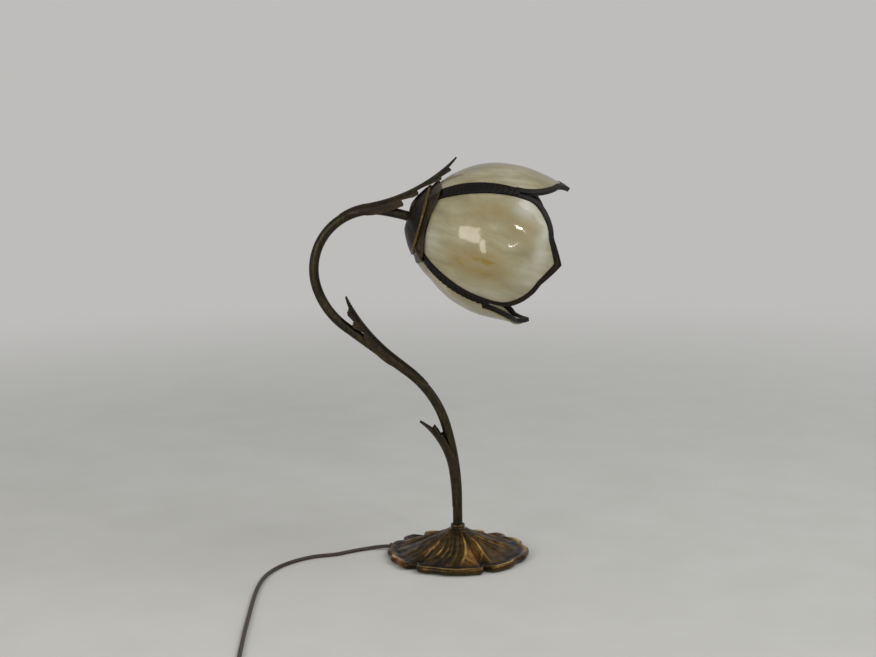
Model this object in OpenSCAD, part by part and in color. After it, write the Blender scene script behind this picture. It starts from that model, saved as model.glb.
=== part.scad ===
// Tulip shade table lamp: a cast lily-pad base, a bent tube stem with three leaves cast round it,
// and a hanging tulip of four bent-glass petals held in metal edging.
// Millimetres, +Z up. The origin is the middle of the base, on the surface that the lamp stands on.
// The stem is bent in the XZ plane. +X is the way the tulip points, and -Y is the front.

/* [Base] */
// Radius of the lily pad at its widest lobes
pad_r = 74.5; // [68:0.5:84]
// Height of the pad's crown, where the stem comes out
crown_z = 31; // [26:0.5:38]
// Radius of the round hole in the crown
crown_hole_r = 9; // [8:0.5:11]
// Wall of the cast pad
pad_wall = 3.2; // [2.4:0.1:4]
// Height of the rolled rim above the surface, at the front
rim_z = 7.8; // [6.5:0.1:10]
// How far the curled lobes at the back and left stand above the rest of the rim
rim_curl = 1; // [0:0.5:5]
// Height of the raised veins
vein_h = 0.8; // [0.3:0.1:1.2]
// Thickness of the felt under the base
felt_t = 1.5; // [1:0.1:3]
// How far the felt stays inside the pad's outline
felt_inset = 4; // [3:0.5:6]

/* [Stem] */
// Outside diameter of the stem tube
tube_d = 10; // [9:0.1:11]
// Wall of the stem tube
tube_wall = 1; // [0.8:0.1:1.5]
// Straight rise above the crown
rise_len = 30.5; // [25:0.5:50]
// Radius of the first, slow bend to the left
lean_r = 290; // [260:5:310]
// Angle of the first bend
lean_deg = 16; // [12:0.5:20]
// Radius of the second bend to the left
sweep_r = 108; // [100:1:125]
// Angle of the second bend
sweep_deg = 37; // [32:0.5:42]
// Straight length on the slope
slope_len = 79; // [70:1:95]
// Radius of the bend that turns the stem upright again
hook_r = 81; // [72:1:88]
// Angle of that bend
hook_deg = 36; // [32:0.5:40]
// Radius of the round bend over the top
crook_r = 61.5; // [56:0.5:70]
// Angle of the bend over the top
crook_deg = 117; // [110:0.5:122]
// Radius of the last bend, down into the calyx
neck_r = 230; // [180:5:250]
// Angle of the last bend
neck_deg = 6; // [4:0.5:10]
// Straight stretch between that bend and the calyx
reach_len = 3; // [1:0.5:6]
// Straight threaded end inside the calyx
thread_len = 19; // [18:0.5:21]
// Height of the ring on the crown
collar_h = 4.5; // [3:0.5:8]
// Outside diameter of that ring
collar_d = 15; // [14.8:0.1:18]

/* [Leaves] */
// Thickness of the cast leaves
leaf_t = 1.1; // [0.8:0.1:1.5]
// Gap between a leaf's sheath and the stem
sheath_gap = 0.45; // [0.4:0.05:0.8]
// Half angle that a sheath wraps round the stem where its blade leaves
sheath_wrap = 140; // [120:1:150]
// Height above the base's collar at which the lowest leaf's sheath starts
low_start = 18; // [10:1:30]
// Length of the lowest leaf's sheath
low_sheath = 40; // [30:1:50]
// Length of the lowest leaf's blade
low_blade = 67; // [55:1:75]
// Distance along the stem from the lowest leaf's blade to the middle leaf's sheath
mid_start = 95; // [80:1:110]
// Length of the middle leaf's sheath
mid_sheath = 44; // [30:1:55]
// Length of the middle leaf's blade
mid_blade = 83; // [70:1:90]
// Distance back along the stem from the calyx to the top leaf's sheath
top_back = 71; // [64:1:78]
// Length of the top leaf's sheath
top_sheath = 26; // [16:1:40]
// Length of the top leaf's blade
top_blade = 111; // [98:1:118]

/* [Shade] */
// Radius of the tulip at its widest
wide_r = 80; // [74:0.5:86]
// Distance from the calyx rim to the widest place
wide_s = 86; // [80:0.5:92]
// Radius of the petals' curve towards the calyx
back_arc = 97; // [95:0.5:110]
// Radius of the petals' curve towards the mouth
front_arc = 139; // [120:1:170]
// Distance from the calyx rim to the tips of the front and back petals
tip_s = 145; // [140:0.5:150]
// How much shorter the top and bottom petals are
tip_less = 7; // [4:0.5:9]
// Radius of a petal's rounded shoulders
shoulder_r = 50; // [46:0.5:54]
// How much tighter the bottom petal's shoulders are, so that it stands a little open
open_less = 6; // [0:0.5:8]
// Thickness of the glass
glass_t = 2.8; // [2:0.1:3.5]
// Width of the metal edging on a petal
came_w = 5; // [4:0.1:6.5]
// How far the edging stands above the glass, outside and inside
came_proud = 1; // [0.6:0.1:1.4]
// Width of the beaded band over a seam
band_w = 10; // [8:0.5:12]
// Height of the band above the edging
band_t = 1.5; // [1:0.1:2]

/* [Calyx and lamp holder] */
// Play between the petals' edging and the calyx's rim
calyx_play = 0.2; // [0.1:0.05:0.5]
// Depth of the calyx, from rim to back
calyx_depth = 12; // [11.5:0.5:13]
// Radius of the calyx's flat back
calyx_back_r = 12; // [10:0.5:15]
// Wall of the calyx
calyx_wall = 1.4; // [1:0.1:1.8]
// Radius of the calyx's rolled lip
lip_r = 1.8; // [1.2:0.1:2]
// Outside diameter of the lamp holder
holder_d = 27; // [25:0.5:30]
// Length of the lamp holder
holder_len = 48; // [44:0.5:52]
// Outside diameter of the bulb's screw cap
cap_d = 13.9; // [13.7:0.1:14.1]
// Length of the bulb's screw cap
cap_len = 20; // [18:0.5:22]
// Diameter of the bulb's glass
bulb_d = 45; // [35:1:50]
// Wall of the bulb's glass
bulb_wall = 0.8; // [0.6:0.1:1.2]

/* [Cord, switch and plug] */
// Diameter of the cord
cord_d = 4.5; // [4.2:0.1:5]
// Length of the switch on the cord
switch_len = 62; // [56:1:68]
// Width of the switch
switch_w = 26; // [24:0.5:29]
// Height of the switch's lower shell
switch_low_h = 8; // [7:0.5:9]
// Height of the switch's upper shell
switch_top_h = 7; // [6.5:0.5:8]
// Length of the rocker
rocker_len = 15; // [13:0.5:17]
// Width of the rocker
rocker_w = 10; // [8:0.5:12]
// Angle that the rocker tips through
rocker_deg = 16; // [10:1:18]
// Diameter of the rocker's pivot
pivot_d = 2; // [1.6:0.1:2.4]
// Length of the plug's body
plug_len = 36; // [33:1:40]
// Width of the plug's body
plug_w = 35; // [32:0.5:36]
// Thickness of the plug's body
plug_h = 13.6; // [12:0.1:15]
// Diameter of the plug's pins
pin_d = 4; // [3.9:0.05:4.1]
// Length of the plug's pins
pin_len = 19; // [18:0.5:20]
// Distance between the plug's pins
pin_gap = 18.6; // [17.5:0.1:19]

/* [Hidden] */
$fn = 64;
tube_r = tube_d / 2;
cord_r = cord_d / 2;
bore_r = tube_r - tube_wall;
// Clearance of a fixed round part in its hole
fit = 0.05;
// Clearance between pieces that lie against each other
seat = 0.05;
bronze = "#4a3b1f";
dark_bronze = "#3a3120";
came_metal = "#2d2528";
slag_glass = "#b3ab86";
brass = "#b08d4a";
steel = "#9a9a9a";
bakelite = "#e8e3d6";
cord_brown = "#3a2a22";

// ---- Meshes that follow a rule ----

// Triangles over a grid of n rows of m points. close_i and close_j join the last row or column to the first.
function grid_faces(n, m, close_i, close_j) = [
    for (i = [0 : n - (close_i ? 1 : 2)], j = [0 : m - (close_j ? 1 : 2)])
        let (j2 = (j + 1) % m, low = i * m, high = ((i + 1) % n) * m)
            each [[low + j, high + j, low + j2], [low + j2, high + j, high + j2]]
];
// The first and the last row of such a grid, as flat ends
function end_faces(n, m) = [[for (j = [0 : m - 1]) j], [for (j = [m - 1 : -1 : 0]) (n - 1) * m + j]];
function flat_list(rows) = [for (row = rows) each row];
function unit(v) = v / norm(v);

// ---- Lily pad ----

// Notches in the pad's outline: [angle, half width in degrees, depth]
pad_notches = [
    [-169, 9, 3], [-152, 7, 2], [-131, 7, 8], [-110, 12, 2], [-65, 6, 9.5], [-30, 12, 3],
    [14, 12, 3.5], [40, 9, 5], [61, 8, 10], [82, 9, 5], [104, 10, 7], [126, 8, 12], [149, 8, 8], [171, 6, 2.5]
];
// Angles of the main veins
pad_veins = [-175, -155, -140, -120, -105, -90, -78, -50, -35, -15, 5, 25, 50, 70, 95, 115, 135, 155];
function wrap(a) = a - 360 * round(a / 360);
function bell(x) = abs(x) >= 1 ? 0 : pow(cos(90 * x), 2);
function dips(a) = [for (k = pad_notches) k[2] * bell(wrap(a - k[0]) / k[1])] * [for (k = pad_notches) 1];
function pad_edge(a) = pad_r - dips(a);
// The rim stands higher along the back and the left
function rim_top(a) = rim_z + rim_curl * bell(wrap(a - 115) / 85);
function vein(a) = max([for (k = pad_veins) max(0, 1 - abs(wrap(a - k)) / 5)]);
// Radius of the rolled rim's section, and height of its middle
function rim_half(a) = (rim_top(a) - felt_t) / 2;
// Height of the pad's top at a share u of the way from the crown to the valley behind the rim
valley = 4.6;
pad_fall = 0.78;
// The pad arches a little where the cord goes under it
arch_deg = 156;
arch_half = 12;
arch_h = 2.6;
function pad_top(a, u) = crown_z - (crown_z - rim_top(a) + valley / 3) * pow(u, pad_fall)
    + vein_h * vein(a) * sin(180 * min(1, 1.1 * u)) + arch_h * u * u * bell(wrap(a - arch_deg) / arch_half);
function pad_section(a) =
    let (
        edge = pad_edge(a),
        half = rim_half(a),
        mid = felt_t + half,
        inner = edge - 2 * valley,
        top_u = [0, 0.16, 0.34, 0.52, 0.7, 0.86, 1],
        low_u = [1, 0.75, 0.5, 0.28],
        span = inner - crown_hole_r
    )
    concat(
        [for (u = top_u) [crown_hole_r + span * u, pad_top(a, u)]],
        [for (t = [115, 75, 35, 0, -35, -75]) [edge - half + half * cos(t), mid + half * sin(t)]],
        [[edge - half - pad_wall, felt_t]],
        [for (u = low_u) [crown_hole_r + (span - pad_wall) * u, pad_top(a, u) - pad_wall]],
        [[hub_seat_r + 1.5, pad_top(a, (hub_seat_r + 1.5 - crown_hole_r) / span) - pad_wall],
            [hub_seat_r, hub_seat_z], [crown_hole_r, hub_seat_z]]
    );
pad_step = 3;
outlet_cut = 30;
module base_casting() {
    rows = [for (a = [0 : pad_step : 359]) [for (q = pad_section(a)) [q[0] * cos(a), q[0] * sin(a), q[1]]]];
    color(bronze)
        difference() {
            polyhedron(flat_list(rows), grid_faces(len(rows), len(rows[0]), true, true));
            // Way out for the cord, under the rim
            translate([-pad_r - 10, outlet_y, outlet_z]) rotate([0, 90, 0])
                cylinder(r = grommet_r + seat, h = outlet_cut);
            translate([-pad_r - 10, outlet_y - grommet_r - seat, 0])
                cube([outlet_cut, 2 * (grommet_r + seat), outlet_z]);
        }
}
module base_felt() {
    color("#3d4a35")
        difference() {
            linear_extrude(felt_t)
                polygon([for (a = [0 : 2 * pad_step : 359])
                    (pad_edge(a) - felt_inset) * [cos(a), sin(a)]]);
            translate([-pad_r - 1, outlet_y - grommet_r - 1, -1])
                cube([18, 2 * grommet_r + 2, felt_t + 2]);
        }
}
// The cord leaves level, along -X, at the pad's left
outlet_y = 25;
grommet_r = cord_r + 1.1;
outlet_z = grommet_r + 0.3;
outlet_x = -72.5;
grommet_len = 12;
module cord_grommet() {
    color("#1c1a18")
        translate([outlet_x, outlet_y, outlet_z])
            rotate([0, 90, 0])
                difference() {
                    cylinder(r = grommet_r, h = grommet_len);
                    translate([0, 0, -1]) cylinder(r = cord_r + seat, h = grommet_len + 2);
                }
}

// ---- Fixing under the crown ----

hub_seat_r = 13;
hub_seat_z = crown_z - pad_wall - 4;
bush_flange = 2.5;
washer_t = 1.5;
nut_h = 5;
nut_af = 14;
bush_low = hub_seat_z - seat - bush_flange;
module hub_bush() {
    color(steel)
        difference() {
            union() {
                translate([0, 0, bush_low]) cylinder(r = hub_seat_r - 0.5, h = bush_flange);
                translate([0, 0, bush_low + 1]) cylinder(r = crown_hole_r - fit, h = crown_z - bush_low - 1);
            }
            cylinder(r = tube_r + fit, h = crown_z + 1);
        }
}
module hub_washer() {
    color(steel)
        translate([0, 0, bush_low - seat - washer_t])
            difference() {
                cylinder(r = 11, h = washer_t);
                translate([0, 0, -1]) cylinder(r = tube_r + fit, h = washer_t + 2);
            }
}
module hex_nut(af, h, bore) {
    difference() {
        cylinder(r = af / sqrt(3), h = h, $fn = 6);
        translate([0, 0, -1]) cylinder(r = bore, h = h + 2);
    }
}
nut_low = bush_low - 2 * seat - washer_t - nut_h;
module hub_nut() {
    color(steel)
        translate([0, 0, nut_low]) hex_nut(nut_af, nut_h, tube_r + fit);
}
module stem_collar() {
    color(dark_bronze)
        translate([0, 0, crown_z + seat])
            rotate_extrude()
                union() {
                    translate([tube_r + fit, 0]) square([collar_d / 2 - tube_r - 1, collar_h]);
                    translate([collar_d / 2 - collar_h / 4, collar_h / 2]) circle(d = collar_h / 2);
                    translate([tube_r + fit, 0]) square([collar_d / 2 - tube_r - fit - 0.4, collar_h * 0.3]);
                }
}

// ---- Stem ----

// Runs of the stem, in order: [radius, turn in degrees] for a bend, [0, length] for a straight.
// A turn is positive to the left of the way the stem goes.
thread_end = nut_low - 3;
stem_runs = [
    [0, crown_z - thread_end + rise_len], [lean_r, lean_deg], [sweep_r, sweep_deg], [0, slope_len],
    [hook_r, -hook_deg], [crook_r, -crook_deg], [neck_r, -neck_deg], [0, reach_len + thread_len]
];
function run_len(run) = run[0] == 0 ? run[1] : run[0] * abs(run[1]) * PI / 180;
function along(d) = [cos(d), sin(d)];
// Where a state [place, heading] comes to after a length l of one run
function step_on(state, run, l) =
    run[0] == 0 ? [state[0] + l * along(state[1]), state[1]] :
    let (
        side = sign(run[1]),
        turn = side * l / run[0] * 180 / PI,
        middle = state[0] + run[0] * along(state[1] + 90 * side)
    )
    [middle + run[0] * along(state[1] + turn - 90 * side), state[1] + turn];
// The state at the start of run i
function run_start(i) = i == 0 ? [[0, thread_end], 90]
    : step_on(run_start(i - 1), stem_runs[i - 1], run_len(stem_runs[i - 1]));
run_states = [for (i = [0 : len(stem_runs)]) run_start(i)];
function length_before(i) = i == 0 ? 0 : length_before(i - 1) + run_len(stem_runs[i - 1]);
run_begins = [for (i = [0 : len(stem_runs)]) length_before(i)];
// The stem's place and heading at a length l from its lower end
function stem_at(l) =
    let (i = max([for (k = [0 : len(stem_runs) - 1]) run_begins[k] <= l ? k : 0]))
        step_on(run_states[i], stem_runs[i], l - run_begins[i]);
// Turns the drawing plane of the stem upright: its x is X and its y is Z
module upright() rotate([90, 0, 0]) children();
// A round bar, or a tube where r_in is over 0, along +Y
module bar(r_out, r_in, length) {
    rotate([-90, 0, 0])
        difference() {
            cylinder(r = r_out, h = length);
            if (r_in > 0) translate([0, 0, -1]) cylinder(r = r_in, h = length + 2);
        }
}
// Neighbouring runs stop just short of each other, and a thin bead joins them
run_gap = 0.2;
bead_half = 0.6;
bead_proud = 0.05;
// The stem from run i on, starting at the origin and going +Y
module runs_from(i, r_out, r_in) {
    run = stem_runs[i];
    side = run[1] < 0 ? 180 : 0;
    turn = abs(run[1]);
    last = len(stem_runs) - 1;
    if (i > 0)
        translate([0, -bead_half, 0])
            bar(r_out + bead_proud, r_in > 0 ? r_in - bead_proud : 0, 2 * bead_half);
    if (run[0] == 0) {
        start = i > 0 ? run_gap : 0;
        end = i < last ? run[1] - run_gap : run[1];
        translate([0, start, 0]) bar(r_out, r_in, end - start);
        if (i < last) translate([0, run[1], 0]) runs_from(i + 1, r_out, r_in);
    } else rotate([0, side, 0]) translate([-run[0], 0, 0]) {
        gap_deg = run_gap / run[0] * 180 / PI;
        rotate([0, 0, gap_deg]) rotate_extrude(angle = turn - 2 * gap_deg)
            translate([run[0], 0])
                difference() {
                    circle(r_out);
                    if (r_in > 0) circle(r_in);
                }
        rotate([0, 0, turn]) translate([run[0], 0, 0]) rotate([0, side, 0]) runs_from(i + 1, r_out, r_in);
    }
}
module stem_tube() {
    color(dark_bronze)
        translate([0, 0, thread_end]) upright() runs_from(0, tube_r, bore_r);
}

// ---- Leaves ----

// Depth of a blade below its keel, from the sheath to the tip: [share of the length, depth].
// Each fall is the notch in front of a tooth.
low_teeth = [
    [0.18, 9.5], [0.4, 8.5], [0.55, 9], [0.57, 6.6], [0.63, 7.2], [0.73, 7.6], [0.745, 3.2], [0.87, 1.8],
    [1, 0.7]
];
mid_teeth = [
    [0.12, 11.4], [0.28, 9.6], [0.41, 8.4], [0.46, 5.6], [0.56, 10], [0.61, 10.4], [0.63, 6.4], [0.75, 8],
    [0.805, 6.2], [0.82, 3.2], [0.92, 1.9], [1, 0.7]
];
top_teeth = [
    [0.1, 12], [0.2, 11.8], [0.3, 11.6], [0.315, 5.4], [0.43, 7.8], [0.48, 7.6], [0.5, 3], [0.55, 3],
    [0.65, 5], [0.735, 7.4], [0.75, 4.6], [0.8, 5.2], [0.86, 6.4], [0.87, 2.2], [0.94, 1.4], [1, 0.6]
];
// Share of a tooth's depth that its point leans forward
tooth_lean = 0.45;
// Half angle and thickness at the thin lower end of a sheath, as a share of those at its blade
sheath_taper = 0.4;
leaf_cols = 13;
// Rows of a leaf: [place, heading, radius of the section, half angle, straight wall below it,
// forward lean of the edge, thickness]
function sheath_row(place, share) =
    let (k = sheath_taper + (1 - sheath_taper) * share)
        [place[0], place[1], tube_r + sheath_gap + k * leaf_t / 2, k * sheath_wrap, 0, 0, k * leaf_t];
function blade_row(place, tooth) =
    let (r = tube_r + sheath_gap + leaf_t / 2 + 3 * tooth[0], deep = tooth[1] > r)
        [place[0], place[1], r, deep ? 90 : acos(1 - tooth[1] / r), deep ? tooth[1] - r : 0,
            tooth_lean * tooth[1], leaf_t];
function leaf_rows(start, sheath, blade, side, bend, teeth) =
    let (n = ceil(sheath / 8), arc = [blade / (bend * PI / 180), side * bend])
    concat(
        [for (i = [0 : n]) sheath_row(stem_at(start + sheath * i / n), i / n)],
        [for (q = teeth) blade_row(step_on(stem_at(start + sheath), arc, blade * q[0]), q)]
    );
// A point of a leaf: row, side, share across from -1 to 1, face of the sheet from -1 to 1.
// It lies on the round part of the section or on the straight wall below it.
function leaf_point(row, side, x, face) =
    let (
        bow = row[2] * row[3] * PI / 180,
        reach = abs(x) * (bow + row[4]),
        a = min(reach, bow) / bow * row[3],
        drop = max(0, reach - bow),
        r = row[2] + face * row[6] / 2,
        high = r * cos(a) - drop * sin(a),
        out = sign(x) * (r * sin(a) + drop * cos(a)),
        flat = row[0] + high * along(row[1] + 90 * side) + row[5] * x * x * along(row[1])
    )
    [flat[0], flat[1], side * out];
// Faces of the sheet's two ends. A row has the outer face's points one way and the inner face's back.
function sheet_ends(last) = [for (j = [0 : leaf_cols - 2])
    let (a = j, b = j + 1, c = 2 * leaf_cols - 1 - j, d = 2 * leaf_cols - 2 - j, z = last * 2 * leaf_cols)
        each [[a, b, c], [b, d, c], [z + a, z + c, z + b], [z + b, z + c, z + d]]
];
module leaf(start, sheath, blade, side, bend, teeth) {
    rows = leaf_rows(start, sheath, blade, side, bend, teeth);
    across = [for (j = [0 : leaf_cols - 1]) 2 * j / (leaf_cols - 1) - 1];
    points = [for (row = rows) each concat(
        [for (x = across) leaf_point(row, side, x, 1)],
        [for (x = across) leaf_point(row, side, -x, -1)]
    )];
    color(bronze)
        upright()
            polyhedron(points,
                concat(grid_faces(len(rows), 2 * leaf_cols, false, true), sheet_ends(len(rows) - 1)));
}
// Angle that each blade bends away through
low_bend = 43;
mid_bend = 25;
top_bend = 37;
low_root = crown_z - thread_end + collar_h + low_start;
mid_root = low_root + low_sheath + mid_start;
top_root = run_begins[7] + reach_len - top_back;
module leaf_lower() leaf(low_root, low_sheath, low_blade, 1, low_bend, low_teeth);
module leaf_middle() leaf(mid_root, mid_sheath, mid_blade, -1, mid_bend, mid_teeth);
module leaf_upper() leaf(top_root, top_sheath, top_blade, 1, top_bend, top_teeth);

// ---- Shade ----

// The calyx rim's middle and the tilt of the shade's axis
calyx_back = [run_states[7][0] + reach_len * along(run_states[7][1]), run_states[7][1]];
shade_heading = calyx_back[1];
module in_shade() {
    upright() translate(calyx_back[0]) rotate(shade_heading) rotate([0, 90, 0]) rotate([0, 0, -90])
        translate([0, 0, calyx_depth]) children();
}
// Distance of the petals' outer face from the axis at a distance s from the calyx rim
function petal_r(s) = let (arc = s < wide_s ? back_arc : front_arc)
    wide_r - arc + sqrt(arc * arc - (s - wide_s) * (s - wide_s));
// Section of the petals between two distances outside their outer face
module petal_profile(out, inn, s_low, s_high) {
    module curve(arc) {
        translate([wide_r - arc, wide_s])
            difference() {
                circle(arc + out, $fn = 180);
                circle(arc + inn, $fn = 180);
            }
    }
    intersection() {
        curve(back_arc);
        translate([1, s_low]) square([2 * wide_r, wide_s - s_low]);
    }
    intersection() {
        curve(front_arc);
        translate([1, wide_s]) square([2 * wide_r, s_high - wide_s]);
    }
}
// Places of the petals' middles round the axis, and the turn from a middle to the seam beside it
at_bottom = 0;
at_back = 90;
at_top = 180;
at_front = 270;
seam_turn = 45;
// Outline of a petal seen square on, as [across, along], drawn in by inset
shoulder_w = 11;
shoulder_s = wide_s - 4;
shoulder_steps = 6;
shoulder_deg = 75;
// Half width and length of the blunt point at a petal's tip, and how much faster than
// its sides the tip is drawn in
point_w = 5;
point_s = 4.5;
tip_draw = 1.6;
function open_of(turn) = turn == at_bottom ? open_less : 0;
function tip_of(turn) = tip_s - (turn % 180 == 0 ? tip_less : 0) - open_of(turn) / 2;
function shoulder_of(turn) = shoulder_r - open_of(turn);
function petal_outline(inset, turn) =
    let (
        middle = [shoulder_w, shoulder_s],
        right = [for (i = [0 : shoulder_steps])
            middle + (shoulder_of(turn) - inset) * along(shoulder_deg * i / shoulder_steps)],
        tip = tip_of(turn) - inset * tip_draw
    )
    concat(
        [[2 * wide_r, 0], [2 * wide_r, shoulder_s]], right,
        [[point_w, tip - point_s], [0, tip], [-point_w, tip - point_s]],
        [for (i = [shoulder_steps : -1 : 0]) [-right[i][0], right[i][1]]],
        [[-2 * wide_r, shoulder_s], [-2 * wide_r, 0]]
    );
petal_low = 3;
// A piece of the petals' shell: half angle, inset of the outline, inset from the calyx end
module petal_solid(out, inn, half, inset, low, turn) {
    intersection() {
        rotate([0, 0, -half]) rotate_extrude(angle = 2 * half)
            petal_profile(out, inn, petal_low + low, tip_s + 2);
        rotate([90, 0, 90]) linear_extrude(2 * wide_r) polygon(petal_outline(inset, turn));
    }
}
seam_half = 44.8;
groove = 2.2;
function came_deg(w) = w / wide_r * 180 / PI;
module glass(turn) {
    color(slag_glass)
        in_shade() rotate([0, 0, turn])
            petal_solid(0, -glass_t, seam_half - came_deg(came_w - groove), came_w - groove,
                came_w - groove, turn);
}
module came(turn) {
    color(came_metal)
        in_shade() rotate([0, 0, turn])
            difference() {
                petal_solid(came_proud, -glass_t - came_proud, seam_half, 0, 0, turn);
                petal_solid(came_proud + 5, -glass_t - came_proud - 5, seam_half - came_deg(came_w),
                    came_w, came_w, turn);
                petal_solid(seat, -glass_t - seat, seam_half - came_deg(came_w - groove - seat),
                    came_w - groove - seat, came_w - groove - seat, turn);
            }
}
module band(turn) {
    color(came_metal)
        in_shade() rotate([0, 0, turn])
            intersection() {
                rotate([0, 0, -10]) rotate_extrude(angle = 20)
                    petal_profile(came_proud + band_t, came_proud + fit, petal_low, wide_s + 1);
                translate([0, -band_w / 2, 0]) cube([2 * wide_r, band_w, wide_s]);
            }
}

// ---- Calyx, gallery and lamp holder ----

// Inside radius of the calyx at its rim, which follows the petals
calyx_r = petal_r(petal_low) + came_proud + calyx_play;
calyx_rim = petal_low;
lip_step = 22.5;

module calyx_cap() {
    color(dark_bronze)
        in_shade()
            rotate_extrude()
                polygon(concat(
                    [[tube_r + fit, -calyx_depth], [calyx_back_r, -calyx_depth], [calyx_r, -1]],
                    [[calyx_r, calyx_rim]],
                    [for (a = [90 : -lip_step : -90])
                        [calyx_r + calyx_wall, calyx_rim - lip_r] + lip_r * along(a)],
                    [[calyx_r + calyx_wall, -calyx_wall], [calyx_back_r + 1, -calyx_depth - calyx_wall]],
                    [[tube_r + fit, -calyx_depth - calyx_wall]]
                ));
}
gallery_z = 1;
gallery_t = 1.5;
// The gallery's ring flares with the petals, just inside them
gallery_h = 6;
gallery_gap = 0.5;
function gallery_r(z) =
    let (arc = back_arc - glass_t - came_proud - gallery_gap, down = wide_s - gallery_z - z)
        wide_r - back_arc + sqrt(arc * arc - down * down);
module calyx_nut() {
    color(steel)
        in_shade() translate([0, 0, -calyx_depth + seat]) hex_nut(nut_af, 4, tube_r + fit);
}
module gallery_nut() {
    color(steel)
        in_shade() translate([0, 0, gallery_z - 4 - seat]) hex_nut(nut_af, 4, tube_r + fit);
}
module shade_gallery() {
    color(brass)
        in_shade() translate([0, 0, gallery_z])
            rotate_extrude()
                polygon([
                    [tube_r + fit, 0], [calyx_r - 0.4, 0], [calyx_r - 0.4, gallery_t],
                    [gallery_r(gallery_t), gallery_t],
                    [gallery_r(gallery_t + gallery_h), gallery_t + gallery_h],
                    [gallery_r(gallery_t + gallery_h) - gallery_t, gallery_t + gallery_h],
                    [gallery_r(gallery_t) - gallery_t, gallery_t], [tube_r + fit, gallery_t]
                ]);
}
holder_z = gallery_z + gallery_t + seat;
holder_r = holder_d / 2;
thread_r = cap_d / 2 + 0.25;
bulb_z = holder_z + 19;
module holder_body() {
    color(bakelite)
        in_shade() translate([0, 0, holder_z])
            rotate_extrude()
                polygon([
                    [tube_r + fit, 0], [9, 0], [9, 5], [holder_r, 9], [holder_r, holder_len - 1],
                    [holder_r - 1, holder_len], [thread_r + 2.4, holder_len], [thread_r + 2.4, 16], [5, 16],
                    [5, 8], [tube_r + fit, 8]
                ]);
}
module holder_thread() {
    color(brass)
        in_shade() translate([0, 0, bulb_z + 3])
            difference() {
                cylinder(r = thread_r + 1, h = cap_len - 4);
                translate([0, 0, -1]) cylinder(r = thread_r, h = cap_len);
            }
}
module holder_contact() {
    color(brass)
        in_shade() translate([0, 0, holder_z + 16 + seat])
            union() {
                translate([-6, -2, 0]) cube([12, 4, 0.6]);
                cylinder(r = 2.2, h = bulb_z - holder_z - 16 - 3 * seat);
            }
}
module bulb_cap() {
    color(steel)
        in_shade() translate([0, 0, bulb_z])
            rotate_extrude()
                polygon([
                    [3.6, 1.5], [cap_d / 2 - 1, 3.2], [cap_d / 2, 4.2], [cap_d / 2, cap_len],
                    [cap_d / 2 + 1.2, cap_len + 4],
                    [cap_d / 2 + 0.8, cap_len + 4], [cap_d / 2 - 0.4, cap_len + 0.2], [cap_d / 2 - 0.4, 4.4],
                    [cap_d / 2 - 1.3, 3.6], [3.6, 2]
                ]);
}
module bulb_insulator() {
    color("#22201e")
        in_shade() translate([0, 0, bulb_z])
            rotate_extrude()
                polygon([[0, 0], [2, 0], [2.4, 0.8], [3.5, 1.4], [3.5, 2.6], [0, 2.6]]);
}
// The bulb is a ball with a neck that goes into its cap
ball_z = bulb_z + cap_len + 4 + 29;
neck_in = 8.2;
module bulb_outline(r, neck) {
    ball = sqrt(r * r - neck * neck);
    union() {
        intersection() {
            translate([0, ball_z]) circle(r);
            translate([0, ball_z - ball]) square([2 * r, 3 * r]);
        }
        translate([0, bulb_z + cap_len + 4.2]) square([neck, ball_z - ball - bulb_z - cap_len - 4.2 + 0.01]);
    }
}
module bulb_glass() {
    color("#f4f1e6")
        in_shade()
            rotate_extrude()
                difference() {
                    bulb_outline(bulb_d / 2, neck_in);
                    translate([0, -0.5]) bulb_outline(bulb_d / 2 - bulb_wall, neck_in - bulb_wall);
                }
}

// ---- The lead inside the stem ----

lead_r = 1.9;
module stem_lead() {
    color(cord_brown)
        translate([0, 0, thread_end]) upright() runs_from(0, lead_r, 0);
}
// It goes on under the pad to the cord's way in
under_points = [
    [0, 0, thread_end - 0.3], [-0.1, 0.05, thread_end - 2], [-2, 1, thread_end - 4.6], [-6.5, 3, 5.2],
    [-14, 6.4, 4.2], [-24, 11, 4], [-35, 16.6, 4], [-45, 21.6, 3.9], [-53, 24.3, 3.75],
    [-58, outlet_y, outlet_z], [-61.8, outlet_y, outlet_z]
];
module under_lead() color(cord_brown) tube(spline(under_points, 2), lead_r, 8);

// ---- Cord ----

switch_x = -118;
switch_y = -398.5;
cord_in_z = 5;
// Points of the free cord from the base to the switch, along the surface
run_points = [
    [-62, outlet_y, outlet_z], [-73, outlet_y, outlet_z], [-79, outlet_y, outlet_z - 0.2],
    [-88, 24.6, 2.9], [-97, 22, 2.4], [-106, 17.5, 2.3], [-116, 11, 2.3], [-127, 3.5, 2.3],
    [-138, -0.5, 2.3], [-149, -4, 2.3], [-160, -11, 2.3], [-170, -20, 2.3], [-179, -31, 2.3],
    [-187, -45, 2.3], [-193, -61, 2.3], [-197, -80, 2.3], [-199, -104, 2.3], [-199.5, -132, 2.3],
    [-199, -164, 2.3], [-198, -200, 2.3], [-197, -236, 2.3], [-195.5, -270, 2.3], [-194, -302, 2.3],
    [-191, -330, 2.3], [-185, -355, 2.3], [-175, -375, 2.3], [-161, -389, 2.3],
    [-145, switch_y + 2, 3.2], [-128, switch_y, 4.6],
    [switch_x, switch_y, cord_in_z], [switch_x + 8, switch_y, cord_in_z]
];
link_points = [
    [switch_x + switch_len - 8, switch_y, cord_in_z], [switch_x + switch_len, switch_y, cord_in_z],
    [-48, -399, 4.2], [-40, -400.6, 3], [-32, -402.6, 2.35]
];
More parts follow.
